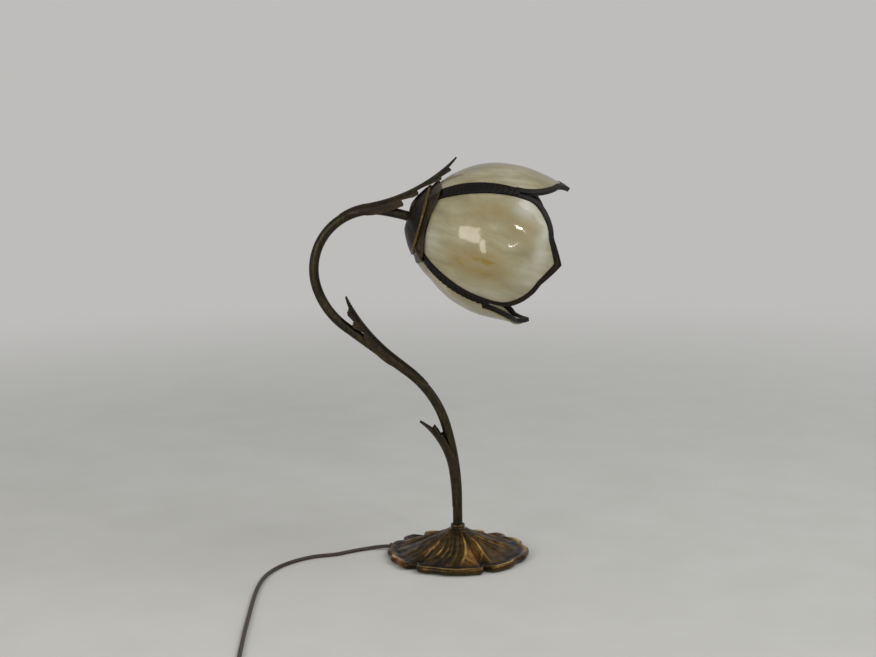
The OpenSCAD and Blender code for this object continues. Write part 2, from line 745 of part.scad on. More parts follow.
// A smooth curve through points, with n steps to each stretch
function spline(p, n) = [
    for (i = [0 : len(p) - 2], k = [0 : n - 1])
        let (
            a = p[max(0, i - 1)], b = p[i], c = p[i + 1], d = p[min(len(p) - 1, i + 2)],
            t = k / n
        )
        0.5 * (2 * b + (c - a) * t + (2 * a - 5 * b + 4 * c - d) * t * t
            + (3 * b - a - 3 * c + d) * t * t * t),
    p[len(p) - 1]
];
function tangent(p, i) = unit(p[min(len(p) - 1, i + 1)] - p[max(0, i - 1)]);
function path_len(p) = [for (i = [1 : len(p) - 1]) norm(p[i] - p[i - 1])] * [for (i = [1 : len(p) - 1]) 1];
// A ring of n points round a place on a path
function ring_at(place, ahead, r, n) =
    let (side = unit(cross([0, 0, 1], ahead)), up = cross(ahead, side))
        [for (k = [0 : n - 1]) place + r * (cos(360 * (k + 0.5) / n) * side + sin(360 * (k + 0.5) / n) * up)];
module tube(path, r, n) {
    rings = [for (i = [0 : len(path) - 1]) ring_at(path[i], tangent(path, i), r, n)];
    polyhedron(flat_list(rings), concat(grid_faces(len(rings), n, false, true), end_faces(len(rings), n)));
}
// The coil: turns that spiral in on the surface, climb a layer and spiral out on top
coil_x = -10;
coil_y = -370;
coil_turns = 7;
coil_inner = 18;
coil_pitch = cord_d + 0.5;
coil_layer = cord_d + 0.5;
coil_steps = 24;
function coil_r(t) = coil_inner + coil_pitch * abs(t - coil_turns / 2);
function smooth(x) = let (c = min(1, max(0, x))) c * c * (3 - 2 * c);
function coil_point(t) = [
    coil_x + coil_r(t) * cos(360 * t - 90), coil_y + coil_r(t) * sin(360 * t - 90),
    cord_r + 0.05 + coil_layer * smooth((t - coil_turns / 2 + 0.25) / 0.5)
];
coil_turn_points = [for (i = [0 : coil_turns * coil_steps]) coil_point(i / coil_steps)];
coil_path = concat([coil_turn_points[0] - [cord_d, 0, 0]], coil_turn_points,
    [coil_turn_points[len(coil_turn_points) - 1] + [cord_d, 0, 0]]);
coil_start = coil_path[0];
coil_end = coil_path[len(coil_path) - 1];
plug_x = 66;
plug_y = -394;
plug_z = plug_h / 2;
relief_len = 20.4;
tail_points = [
    coil_end, coil_end + [4.5, 0, 0], coil_end + [9, 0.1, 0], coil_end + [18, 1.2, -0.4],
    coil_end + [27, 4.2, -1], coil_end + [36, 8.1, -1.2], [38, plug_y - 0.9, 6.4],
    [43.5, plug_y - 0.1, 6.78], [48, plug_y, plug_z],
    [54, plug_y, plug_z], [60, plug_y, plug_z], [plug_x, plug_y, plug_z]
];
run_path = spline(run_points, 2);
link_path = spline(concat(link_points, [coil_start - [9, 0, 0], coil_start - [4.5, 0, 0], coil_start]), 2);
tail_path = spline(tail_points, 2);
module cord_run() color(cord_brown) tube(run_path, cord_r, 8);
module cord_link() color(cord_brown) tube(link_path, cord_r, 8);
module cord_coil() color(cord_brown) tube(coil_path, cord_r, 6);
module cord_tail() color(cord_brown) tube(tail_path, cord_r, 8);
// Least gap between turns that are not neighbours along the cord
coil_gap = min([for (i = [0 : 2 : len(coil_path) - 1], j = [i + coil_steps / 2 : len(coil_path) - 1])
    norm(coil_path[i] - coil_path[j])]) - cord_d;
echo(coil_least_gap_mm = coil_gap);
echo(cord_to_switch_mm = path_len(run_path));
echo(cord_to_plug_mm = path_len(link_path) + path_len(coil_path) + path_len(tail_path));

// ---- Switch ----

module on_switch() translate([switch_x, switch_y, 0]) children();
function switch_outline(w, inset) =
    let (l = switch_len - inset, n = w / 2 - inset, e = 5.5 - inset)
        [[inset, -e], [13, -n], [switch_len - 13, -n], [l, -e], [l, e], [switch_len - 13, n],
            [13, n], [inset, e]];
cord_bore = cord_r + seat;
module switch_base() {
    color("#2a211c")
        on_switch()
            difference() {
                linear_extrude(switch_low_h) polygon(switch_outline(switch_w, 0));
                translate([0, 0, 1.6]) linear_extrude(switch_low_h) polygon(switch_pocket());
                for (x = [-1, switch_len - 9]) translate([x, 0, cord_in_z]) rotate([0, 90, 0])
                    cylinder(r = cord_bore, h = 10);
                for (x = [-1, switch_len - 9]) translate([x, -cord_bore, cord_in_z])
                    cube([10, 2 * cord_bore, 10]);
                for (q = screw_places) translate([q[0], q[1], -1]) cylinder(d = screw_d + 0.3, h = 20);
                for (q = screw_places) translate([q[0], q[1], -1]) cylinder(d = screw_head_d + 0.4, h = 2.8);
            }
}
function switch_pocket() = [
    [9, -4], [15, -switch_w / 2 + 7.5], [switch_len - 15, -switch_w / 2 + 7.5], [switch_len - 9, -4],
    [switch_len - 9, 4], [switch_len - 15, switch_w / 2 - 7.5], [15, switch_w / 2 - 7.5], [9, 4]
];
screw_d = 2.6;
screw_head_d = 4.6;
screw_places = [[14, -8.6], [switch_len - 14, 8.6]];
rocker_z = switch_low_h + switch_top_h - 2.2;
module switch_cover() {
    color("#2a211c")
        on_switch()
            difference() {
                translate([0, 0, switch_low_h + seat])
                    union() {
                        linear_extrude(switch_top_h - 2) polygon(switch_outline(switch_w, 0));
                        linear_extrude(switch_top_h) polygon(switch_outline(switch_w, 2));
                    }
                translate([switch_len / 2 - rocker_len / 2 - 0.6, -rocker_w / 2 - 0.35, 0])
                    cube([rocker_len + 1.2, rocker_w + 0.7, 40]);
                linear_extrude(switch_low_h + switch_top_h - 4) polygon(switch_pocket());
                translate([switch_len / 2, -rocker_w / 2 - 2.5, rocker_z]) rotate([-90, 0, 0])
                    cylinder(d = pivot_d + 2 * fit, h = rocker_w + 5);
                for (q = screw_places) translate([q[0], q[1], 0])
                    cylinder(d = screw_d - 0.2, h = switch_low_h + 4);
            }
}
// The rocker is modelled tipped to its off side
module switch_rocker() {
    half = rocker_len / 2;
    color("#e9e4d8")
        on_switch() translate([switch_len / 2, 0, rocker_z]) rotate([0, -rocker_deg / 2, 0])
            union() {
                translate([0, rocker_w / 2, 0]) rotate([90, 0, 0])
                    linear_extrude(rocker_w)
                        polygon([[-half, -0.8], [-2, -3], [2, -3], [half, -0.8], [half, 1.6], [half - 1, 2.6],
                            [0, 1.7], [1 - half, 2.6], [-half, 1.6]]);
                translate([0, rocker_w / 2 + 2.1, 0]) rotate([90, 0, 0])
                    cylinder(d = pivot_d, h = rocker_w + 4.2);
            }
}
module switch_screws() {
    color(steel)
        on_switch()
            for (q = screw_places)
                translate([q[0], q[1], 0.3])
                    union() {
                        cylinder(d = screw_head_d, h = 1.3);
                        cylinder(d = screw_d - 0.4, h = switch_low_h + 3);
                    }
}
module switch_contacts() {
    color(brass)
        on_switch()
            for (x = [17, switch_len - 25]) translate([x, -3, 1.6 + seat])
                union() {
                    cube([8, 6, 0.8]);
                    translate([2, 1, 0.7]) cube([4, 4, 3.2]);
                }
}

// ---- Plug ----

module on_plug() translate([plug_x, plug_y, plug_z]) children();
module plug_body() {
    w = plug_w / 2;
    color("#2a211c")
        on_plug()
            difference() {
                intersection() {
                    translate([0, 0, -plug_h / 2]) linear_extrude(plug_h)
                        polygon([[0, -5], [10, -6.5], [17, -w + 3], [20, -w], [plug_len, -w + 2.5],
                            [plug_len, w - 2.5], [20, w], [17, w - 3], [10, 6.5], [0, 5]]);
                    translate([0, 2 * w, 0]) rotate([90, 0, 0]) linear_extrude(4 * w)
                        polygon([[-1, -4.5], [12, -plug_h / 2], [plug_len + 1, -plug_h / 2],
                            [plug_len + 1, plug_h / 2], [12, plug_h / 2], [-1, 4.5]]);
                }
                for (side = [-1, 1]) translate([plug_len - 10, side * pin_gap / 2, 0]) rotate([0, 90, 0])
                    cylinder(d = pin_d + 2 * seat, h = 12);
            }
}
// The relief is a tapered sleeve round the cord, with ring grooves
module plug_relief() {
    low = 3;
    high = 4.1;
    step = relief_len / 12;
    color("#2a211c")
        on_plug() translate([-seat, 0, 0]) rotate([0, -90, 0])
            rotate_extrude()
                polygon(concat([[cord_r + 0.12, 0]],
                    [for (i = [0 : 11]) let (r = high + (low - high) * i / 11, cut = i % 3 == 2 ? 0.45 : 0)
                        each [[r - cut, i * step], [r - cut, (i + 1) * step]]],
                    [[cord_r + 0.12, relief_len]]));
}
module plug_sleeves() {
    color("#1c1a18")
        on_plug()
            for (side = [-1, 1]) translate([plug_len + seat, side * pin_gap / 2, 0]) rotate([0, 90, 0])
                difference() {
                    cylinder(d = pin_d - 0.1, h = 10);
                    translate([0, 0, -1]) cylinder(d = pin_d - 0.9, h = 12);
                }
}
module plug_pins() {
    color(steel)
        on_plug()
            for (side = [-1, 1]) translate([plug_len - 9.5, side * pin_gap / 2, 0]) rotate([0, 90, 0])
                union() {
                    cylinder(d = pin_d, h = 9);
                    cylinder(d = pin_d - 1, h = 9.5 + pin_len - 1);
                    translate([0, 0, 9.5 + 10.4]) cylinder(d = pin_d, h = pin_len - 12);
                    translate([0, 0, 9.5 + pin_len - 2]) cylinder(d1 = pin_d, d2 = pin_d - 1.4, h = 2);
                }
}

base_casting();
base_felt();
cord_grommet();
hub_bush();
hub_washer();
hub_nut();
stem_collar();
stem_tube();
leaf_lower();
leaf_middle();
leaf_upper();
stem_lead();
calyx_cap();
calyx_nut();
gallery_nut();
shade_gallery();
glass(at_front);  // glass_front
glass(at_top);  // glass_top
glass(at_back);  // glass_back
glass(at_bottom);  // glass_bottom
came(at_front);  // came_front
came(at_top);  // came_top
came(at_back);  // came_back
came(at_bottom);  // came_bottom
band(at_top + seam_turn);  // band_front_top
band(at_back + seam_turn);  // band_back_top
band(at_bottom + seam_turn);  // band_back_bottom
band(at_front + seam_turn);  // band_front_bottom
holder_body();
holder_thread();
holder_contact();
bulb_cap();
bulb_insulator();
bulb_glass();
under_lead();
cord_run();
switch_base();
switch_cover();
switch_rocker();
switch_screws();
switch_contacts();
cord_link();
cord_coil();
cord_tail();
plug_relief();
plug_body();
plug_sleeves();
plug_pins();
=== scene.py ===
# %% [markdown]
# # Dressing a tulip lamp
# A bent bronze stem, three cast leaves, a lily-pad base and a tulip of four bent-glass petals.
# The CAD model gives every solid in its place. This lesson finishes them: it puts fuller forms over
# the plain ones and gives each surface the look of its real material.

# %% Load the frame
import math

import bpy
import numpy as np
from mathutils import Matrix, Vector, noise


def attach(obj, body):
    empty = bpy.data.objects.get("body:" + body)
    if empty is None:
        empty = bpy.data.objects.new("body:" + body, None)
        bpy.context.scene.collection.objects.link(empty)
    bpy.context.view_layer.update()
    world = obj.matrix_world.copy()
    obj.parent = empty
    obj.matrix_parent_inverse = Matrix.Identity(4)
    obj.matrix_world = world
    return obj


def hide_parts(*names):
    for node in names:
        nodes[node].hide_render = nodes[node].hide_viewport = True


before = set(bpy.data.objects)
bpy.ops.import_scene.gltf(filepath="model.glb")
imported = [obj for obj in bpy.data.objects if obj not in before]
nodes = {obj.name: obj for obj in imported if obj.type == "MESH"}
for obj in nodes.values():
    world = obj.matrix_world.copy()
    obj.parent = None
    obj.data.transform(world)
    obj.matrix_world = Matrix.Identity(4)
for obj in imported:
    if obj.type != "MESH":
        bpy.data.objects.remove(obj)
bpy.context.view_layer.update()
MM = 0.001

# %% [markdown]
# ## The camera
# The camera stands where the photographer stood. Its place was found by fitting the round base and
# the straight part of the stem, so the lens, height and small roll come out of that fit. The turn is
# written as three axes: right, up and the way it looks.

# %% Camera
CAMERA_PLACE = Vector((0.0, -1.7638, 0.5399))
FOCAL_PX = 1737.2
PHOTO_WIDTH_PX = 876
SENSOR_MM = 36.0
pitch, roll, yaw = (math.radians(a) for a in (9.565, -0.733, -0.588))


def camera_axes(pitch, roll, yaw):
    level = Vector((math.cos(yaw), -math.sin(yaw), 0.0))
    ahead = Vector((math.sin(yaw) * math.cos(pitch), math.cos(yaw) * math.cos(pitch), -math.sin(pitch)))
    above = level.cross(ahead)
    right = math.cos(roll) * level + math.sin(roll) * above
    up = -math.sin(roll) * level + math.cos(roll) * above
    return right, up, ahead


right, up, ahead = camera_axes(pitch, roll, yaw)
camera_data = bpy.data.cameras.new("photo_camera")
camera_data.sensor_width = SENSOR_MM
camera_data.sensor_fit = "HORIZONTAL"
camera_data.lens = FOCAL_PX / PHOTO_WIDTH_PX * SENSOR_MM
camera_data.clip_start = 0.05
camera = bpy.data.objects.new("photo_camera", camera_data)
bpy.context.collection.objects.link(camera)
turn = Matrix((right, up, -ahead)).transposed().to_4x4()
camera.matrix_world = Matrix.Translation(CAMERA_PLACE) @ turn
bpy.context.scene.camera = camera
print("lens in mm:", round(camera_data.lens, 2))

# %% [markdown]
# ## The flex
# The mains lead is a twin flex: two insulated wires side by side in one brown sleeve, so its section
# is a soft figure of eight. A curve with a bevel object could give it, but a swept ring of points
# lets the section lie flat on the table all the way and gives a UV map that runs with the cord.
# The route is the one that the CAD cord has: out of the base, round the left and to a switch below
# the picture, and from there into a coil and to the plug. A smooth line runs through its points.

# %% Route to the switch, in millimetres
FLEX_WIDE = 4.5
OUTLET = OUTLET_Y, OUTLET_Z = 25, 3.65
SWITCH_AT = (-118, -398.5)
SWITCH_LONG = 62
ROUTE_TO_SWITCH = [
    (-62, *OUTLET), (-73, *OUTLET), (-79, 25, 3.45), (-88, 24.6, 2.9), (-97, 22, 2.4), (-106, 17.5, 2.3),
    (-116, 11, 2.3), (-127, 3.5, 2.3), (-138, -0.5, 2.3), (-149, -4, 2.3), (-160, -11, 2.3), (-170, -20, 2.3),
    (-179, -31, 2.3), (-187, -45, 2.3), (-193, -61, 2.3), (-197, -80, 2.3), (-199, -104, 2.3),
    (-199.5, -132, 2.3), (-199, -164, 2.3), (-198, -200, 2.3), (-197, -236, 2.3), (-195.5, -270, 2.3),
    (-194, -302, 2.3), (-191, -330, 2.3), (-185, -355, 2.3), (-175, -375, 2.3), (-161, -389, 2.3),
    (-145, -396.5, 3.2), (-128, -398.5, 4.6), (*SWITCH_AT, 5), (-110, -398.5, 5),
]


def curve_through(points, steps):
    """A smooth line through the points, with that many steps to each stretch."""
    p = [Vector(q) for q in points]
    line = []
    for i in range(len(p) - 1):
        a, b, c, d = p[max(0, i - 1)], p[i], p[i + 1], p[min(len(p) - 1, i + 2)]
        for k in range(steps):
            t = k / steps
            line.append(0.5 * (2 * b + (c - a) * t + (2 * a - 5 * b + 4 * c - d) * t * t
                               + (3 * b - a - 3 * c + d) * t ** 3))
    return line + [p[-1]]


def line_length(points):
    return sum((b - a).length for a, b in zip(points, points[1:]))


to_switch = curve_through(ROUTE_TO_SWITCH, 4)
print("flex to the switch in mm:", round(line_length(to_switch)))

# %% [markdown]
# The spare flex is coiled in two layers: it spirals in at a steady rate, climbs on top of itself in
# half a turn and spirals out again. That is a rule, so a function gives any point of it.

# %% Coil of the flex
COIL_MIDDLE = (-10, -370)
COIL_TURNS = 7
COIL_INNER = 18
COIL_STEP = FLEX_WIDE + 0.5
COIL_STEPS = 24


def smooth_step(x):
    """From 0 to 1 without a corner."""
    x = min(1.0, max(0.0, x))
    return x * x * (3 - 2 * x)


def coil_point(t):
    """A point of the coil after t turns: it spirals in, climbs a layer and spirals out."""
    radius = COIL_INNER + COIL_STEP * abs(t - COIL_TURNS / 2)
    angle = math.radians(360 * t - 90)
    height = FLEX_WIDE / 2 + 0.05 + COIL_STEP * smooth_step((t - COIL_TURNS / 2 + 0.25) / 0.5)
    return (COIL_MIDDLE[0] + radius * math.cos(angle), COIL_MIDDLE[1] + radius * math.sin(angle), height)


turns = [coil_point(i / COIL_STEPS) for i in range(COIL_TURNS * COIL_STEPS + 1)]
print("coil's outer radius in mm:", COIL_INNER + COIL_STEP * COIL_TURNS / 2)

# %% [markdown]
# A short link brings the flex from the switch down to the coil, and a tail lifts it from there to
# the plug. Both run straight for a stretch where they meet the coil, the switch and the plug.

# %% Route to the plug, in millimetres
PLUG_AT = (66, -394, 6.8)
coil_in = Vector(turns[0]) - Vector((FLEX_WIDE, 0, 0))
coil_out = Vector(turns[-1]) + Vector((FLEX_WIDE, 0, 0))
LINK = [
    (SWITCH_AT[0] + SWITCH_LONG - 8, SWITCH_AT[1], 5), (SWITCH_AT[0] + SWITCH_LONG, SWITCH_AT[1], 5),
    (-48, -399, 4.2), (-40, -400.6, 3), (-32, -402.6, 2.35),
    coil_in - Vector((9, 0, 0)), coil_in - Vector((4.5, 0, 0)), coil_in,
]
TAIL = [
    coil_out, coil_out + Vector((4.5, 0, 0)), coil_out + Vector((9, 0.1, 0)), coil_out + Vector((18, 1.2, -0.4)),
    coil_out + Vector((27, 4.2, -1)), coil_out + Vector((36, 8.1, -1.2)), (38, PLUG_AT[1] - 0.9, 6.4),
    (43.5, PLUG_AT[1] - 0.1, 6.78), (48, PLUG_AT[1], PLUG_AT[2]), (54, PLUG_AT[1], PLUG_AT[2]),
    (60, PLUG_AT[1], PLUG_AT[2]), PLUG_AT,
]
to_plug = curve_through(LINK, 4)[:-1] + curve_through(turns, 2) + curve_through(TAIL, 4)[1:]
print("flex to the plug in mm:", round(line_length(to_plug)))

# %% [markdown]
# The section is two round wires joined by a web. It is swept with its wide side level, as a flex
# lies when it is put down and when it is coiled.

# %% Sweep the flex
FLEX_THICK = 3.9
FLEX_SIDE = 2.05
WAIST_DEPTH, WAIST_HALF = 0.3, 0.28
RING = 28
# The route is that of a round cord, so the flatter flex comes down by this much to lie on the table
REST_DROP = (FLEX_WIDE - FLEX_THICK) / 2
# and no longer does so between these two heights
DROP_FROM, DROP_TO = 2.4, 3.6


def flex_section(k):
    """A point of the figure of eight: across and up, in millimetres."""
    a = 2 * math.pi * k / RING
    waist = 1 - WAIST_DEPTH * math.exp(-(math.cos(a) / WAIST_HALF) ** 2)
    return FLEX_SIDE * math.cos(a), FLEX_THICK / 2 * math.sin(a) * waist


def add_mesh(name, points, faces):
    mesh = bpy.data.meshes.new(name)
    mesh.from_pydata([tuple(p) for p in points], [], faces)
    mesh.update()
    mesh.shade_smooth()
    piece = bpy.data.objects.new(name, mesh)
    bpy.context.collection.objects.link(piece)
    return piece


def swept_flex(name, line):
    """Sweeps the section along the line and closes both ends. Its map is in metres along the cord."""
    points, faces, along = [], [], [0.0]
    for i, place in enumerate(line):
        heading = (line[min(i + 1, len(line) - 1)] - line[max(i - 1, 0)]).normalized()
        side = Vector((0, 0, 1)).cross(heading).normalized()
        rise = heading.cross(side)
        lifted = smooth_step((place.z - DROP_FROM) / (DROP_TO - DROP_FROM))
        rested = place - Vector((0, 0, REST_DROP * (1 - lifted)))
        for k in range(RING):
            x, y = flex_section(k)
            points.append((rested + side * x + rise * y) * MM)
        if i:
            along.append(along[-1] + (place - line[i - 1]).length)
    for i in range(len(line) - 1):
        for k in range(RING):
            a, b = i * RING + k, i * RING + (k + 1) % RING
            faces.append((a, b, b + RING, a + RING))
    faces.append(tuple(range(RING - 1, -1, -1)))
    faces.append(tuple((len(line) - 1) * RING + k for k in range(RING)))
    piece = add_mesh(name, points, faces)
    chart = piece.data.uv_layers.new(name="along_cord")
    for face in piece.data.polygons:
        for corner in face.loop_indices:
            v = piece.data.loops[corner].vertex_index
            around = (v % RING) / RING
            if around == 0 and face.vertices[1] % RING == 0:
                around = 1.0
            chart.data[corner].uv = (along[v // RING] * MM, around)
    print(name, "triangles:", 2 * len(faces), "length in mm:", round(along[-1]))
    return piece


flex_run = swept_flex("flex_to_switch", to_switch)
flex_coil = swept_flex("flex_to_plug", to_plug)
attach(flex_run, "lamp")
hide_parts("cord_run")
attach(flex_coil, "lamp")
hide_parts("cord_link", "cord_coil", "cord_tail")

# %% [markdown]
# ## Hands for modelling
# An operator acts on whatever is selected, and the CAD nodes come in selected, so `unclutter` clears
# the table first. `named` takes the primitive that was just added and `edit` opens a piece in edit
# mode with all of it selected. `weld` merges doubles and then turns the faces outwards.

# %% Select, edit and weld


def unclutter():
    if bpy.context.object and bpy.context.object.mode != "OBJECT":
        bpy.ops.object.mode_set(mode="OBJECT")
    bpy.ops.object.select_all(action="DESELECT")


def named(name):
    piece = bpy.context.object
    piece.name = piece.data.name = name
    return piece


def edit(piece):
    unclutter()
    bpy.context.view_layer.objects.active = piece
    piece.select_set(True)
    bpy.ops.object.mode_set(mode="EDIT")
    bpy.ops.mesh.select_mode(type="VERT")
    bpy.ops.mesh.select_all(action="SELECT")


# Points closer than this are doubles, in metres. Thin sheets need the finer one
GAP, FINE_GAP = 1e-6, 1e-7


def weld(piece, gap=GAP):
    edit(piece)
    bpy.ops.mesh.remove_doubles(threshold=gap)
    bpy.ops.mesh.normals_make_consistent(inside=False)
    bpy.ops.object.mode_set(mode="OBJECT")


unclutter()
print("selected now:", len(bpy.context.selected_objects))

# %% [markdown]
# Points that follow a rule are moved all at once: `places` reads them as an array and `move_to`
# writes them back. A modifier could stay live, but the export wants plain meshes, so `finish_with`
# applies it. `in_place` leaves the object at the origin with its place in its mesh.

# %% Points, modifiers and place


def places(piece):
    """The piece's points, one row each, in metres."""
    flat = np.empty(3 * len(piece.data.vertices))
    piece.data.vertices.foreach_get("co", flat)
    return flat.reshape(-1, 3)


def move_to(piece, points):
    piece.data.vertices.foreach_set("co", np.ascontiguousarray(points, dtype=np.float32).ravel())
    piece.data.update()


def finish_with(piece, kind, **settings):
    unclutter()
    bpy.context.view_layer.objects.active = piece
    piece.select_set(True)
    modifier = piece.modifiers.new(kind.lower(), kind)
    for key, value in settings.items():
        setattr(modifier, key, value)
    bpy.ops.object.modifier_apply(modifier=modifier.name)


def in_place(piece, smooth_deg=None):
    """The object goes to the origin with its place in its mesh, shaded smooth."""
    unclutter()
    bpy.context.view_layer.objects.active = piece
    piece.select_set(True)
    bpy.ops.object.transform_apply(location=True, rotation=True, scale=True)
    if smooth_deg:
        bpy.ops.object.shade_smooth_by_angle(angle=math.radians(smooth_deg))
    else:
        bpy.ops.object.shade_smooth()
    return piece


print("points of the CAD base:", len(places(nodes["base_casting"])))

# %% [markdown]
# A finished piece says which body it rides on and which CAD nodes it stands for. Before that it
# gets its notes: one number on each point, which a material can read.

# %% Say what a piece is


def note(piece, name, values):
    """Keeps one number for each point, which a material can read."""
    layer = piece.data.attributes.new(name, "FLOAT", "POINT")
    layer.data.foreach_set("value", np.ascontiguousarray(values, dtype=np.float32))


def stands_for(piece, body, slot, *replaced):
    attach(piece, body)
    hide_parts(*replaced)
    size = [round((high - low) / MM, 1) for low, high in zip(places(piece).min(axis=0), places(piece).max(axis=0))]
    print(piece.name, "faces:", len(piece.data.polygons), "size in mm:", size)


# %% [markdown]
# Round pieces are drawn as a section and spun, as on a lathe. Where the round form is only the
# start, the section is drawn level, so that each point's ring can be told by its distance from the
# axis, and the rings are laid where they belong.

# %% Spin a section


def spun(name, section, steps):
    """Draws a closed section point by point in the XZ plane and spins it round the upright axis."""
    unclutter()
    bpy.ops.mesh.primitive_plane_add(size=MM)
    piece = named(name)
    edit(piece)
    bpy.ops.mesh.merge(type="CENTER")
    chain = list(section) + [section[0]]
    bpy.ops.transform.translate(value=(chain[0][0] * MM, 0, chain[0][1] * MM))
    for (r, z), (r2, z2) in zip(chain, chain[1:]):
        step = ((r2 - r) * MM, 0, (z2 - z) * MM)
        bpy.ops.mesh.extrude_region_move(TRANSFORM_OT_translate={"value": step})
    bpy.ops.mesh.select_all(action="SELECT")
    bpy.ops.mesh.spin(steps=steps, angle=2 * math.pi, center=(0, 0, 0), axis=(0, 0, 1))
    weld(piece)
    return piece


# Millimetres from the axis at which a level chain of points starts
RING_START = 10


def rings(name, count, steps):
    """A spun chain drawn level, one point to a millimetre, with the ring and angle of each point."""
    piece = spun(name, [(RING_START + k, 0) for k in range(count)], steps)
    x, y = places(piece)[:, :2].T / MM
    return piece, np.rint(np.hypot(x, y) - RING_START).astype(int), np.degrees(np.arctan2(y, x))


def lay_rings(piece, radius, height, angle):
    """Moves the rings to their real radius and height, and turns the faces outwards."""
    a = np.radians(angle)
    move_to(piece, np.column_stack([radius * np.cos(a), radius * np.sin(a), height]) * MM)
    weld(piece)


print("rings start at mm:", RING_START)

# %% [markdown]
# ## The lily pad
# The base is a sand-cast lily leaf: a low cone with scalloped lobes, raised veins that flow from the
# stem and fork before the edge, and an edge that rolls under. Sculpting would give it, but not the
# same way twice. Here a chain of points is spun into rings, and each ring's points are then moved by
# the rules of the casting: the outline with its notches, the rolled rim, and a ridge along each vein.
# The leaf falls from the crown in a hollow curve, and a lobe on the left arches over the flex.

# %% The pad's outline and rim
PAD_R = 74.5
CROWN_Z, CROWN_HOLE = 31, 9
RIM_Z = 7.8
FELT_T = 1.5
PAD_WALL = 3.2
VALLEY = 4.6
PAD_FALL = 0.78
# Where the rim or the leaf stands higher: middle and half width in degrees, height
HIGH_RIM, FLEX_ARCH = (115, 85, 1), (156, 12, 2.6)
# Notches: middle and half width in degrees, depth in millimetres
NOTCHES = [
    (-169, 9, 3), (-152, 7, 2), (-131, 7, 8), (-110, 12, 2), (-65, 6, 9.5), (-30, 12, 3), (14, 12, 3.5),
    (40, 9, 5), (61, 8, 10), (82, 9, 5), (104, 10, 7), (126, 8, 12), (149, 8, 8), (171, 6, 2.5),
]


def around(a):
    """The same angle between -180 and 180 degrees."""
    return (a + 180) % 360 - 180


def bell(x):
    """One at 0, falling smoothly to nothing at 1 on either side."""
    return np.where(np.abs(x) >= 1, 0.0, np.cos(np.pi / 2 * np.clip(x, -1, 1)) ** 2)


def pad_edge(a):
    return PAD_R - sum(deep * bell(around(a - middle) / half) for middle, half, deep in NOTCHES)


def hump(a, middle, half, high):
    return high * bell(around(a - middle) / half)


def rim_top(a):
    return RIM_Z + hump(a, *HIGH_RIM)


def pad_top(a, u):
    """Height of the plain leaf at an angle and a share of the way out."""
    fall = CROWN_Z - rim_top(a) + VALLEY / 3
    return CROWN_Z - fall * u ** PAD_FALL + u * u * hump(a, *FLEX_ARCH)


print("pad's edge in mm:", [round(float(pad_edge(a)), 1) for a in (-110, -65, 0, 61, 126)])

# %% [markdown]
# The veins are lines drawn on the leaf from above. Those at the front follow the real casting: thin
# ridges that sweep to the left, and two strong ones right of the middle that fork round a smooth
# golden panel. Each remaining lobe has a main vein with two branches.

# %% The pad's veins, seen from above in millimetres
FRONT_VEINS = [
    [(-21.7, -7.1), (-30.4, -4.8), (-37.7, -9.8), (-42.9, -18.6)],
    [(-19.4, -10.0), (-27, -15), (-34.5, -22.5), (-41.5, -27.5)],
    [(-17.4, -13.0), (-22.7, -21.7), (-31.1, -28.9), (-40.6, -33.0)],
    [(-14.6, -14.4), (-20, -26), (-28.6, -36), (-39.5, -40)],
    [(-12.1, -15.1), (-16.4, -31.1), (-24.7, -42.2), (-35.4, -47.8)],
    [(-7.8, -16.0), (-9.9, -31.3), (-16.3, -42.8), (-25.7, -55.8)],
    [(-4.6, -16.0), (-6.8, -36.8), (-12.1, -48.4), (-16.7, -60.4)],
    [(-0.4, -16.7), (-1.1, -38.8), (-4.9, -50.6), (-8.0, -62.2)],
]
STRONG_VEINS = [
    [(3.9, -13.7), (6.9, -22), (7.9, -34), (6.8, -44.8), (2.4, -61.1)],
    [(6.8, -44.8), (9.8, -50.2), (16.0, -55.2), (19.6, -61.4)],
    [(9.2, -12.1), (18.7, -20.6), (25.8, -36.0), (32.8, -49.9), (35.2, -57.6)],
    [(24.7, -38.1), (23.5, -45.6), (21.1, -55.4), (21.6, -61.5)],
    [(35, -55), (29, -60)],
]
SIDE_VEINS = [
    [(-44.1, -19.4), (-54.2, -7.2), (-68.4, 4.0)],
    [(-39.6, 24.0), (-53.6, 17.4), (-67.6, 13.6)],
    [(-46, -20.3), (-56, -21), (-67, -17)],
    [(14.6, -10.5), (31.6, -17.0), (47.3, -27.3), (59, -36)],
    [(16.6, -6.5), (36.6, -9.0), (66, -11)],
]
LOBES = [-6, 27, 50, 71, 93, 115, 137, 160, -141]


def lobe_veins(a):
    """A main vein with a slight swirl, and two branches from its middle."""
    def at(r, turn):
        b = math.radians(a + turn)
        return (r * math.cos(b), r * math.sin(b))
    edge = float(pad_edge(a)) - 8
    return [
        [at(12, -5), at(26, 1), at(42, 2), at(edge, 0)],
        [at(32, 1.5), at(46, 6), at(edge - 2, 8)],
        [at(38, 1.8), at(50, -4), at(edge - 2, -7.5)],
    ]


fine_veins = FRONT_VEINS + SIDE_VEINS + [line for a in LOBES for line in lobe_veins(a)]


def distance_to(lines, x, y, steps=6):
    """How far each point is from the nearest of the lines, drawn as smooth curves."""
    nearest = np.full(x.shape, 1e9)
    for line in lines:
        smooth = curve_through([(*q, 0) for q in line], steps)
        for p, q in zip(smooth, smooth[1:]):
            dx, dy = q.x - p.x, q.y - p.y
            t = np.clip(((x - p.x) * dx + (y - p.y) * dy) / (dx * dx + dy * dy), 0, 1)
            nearest = np.minimum(nearest, np.hypot(x - p.x - t * dx, y - p.y - t * dy))
    return nearest


print("veins:", len(fine_veins) + len(STRONG_VEINS))

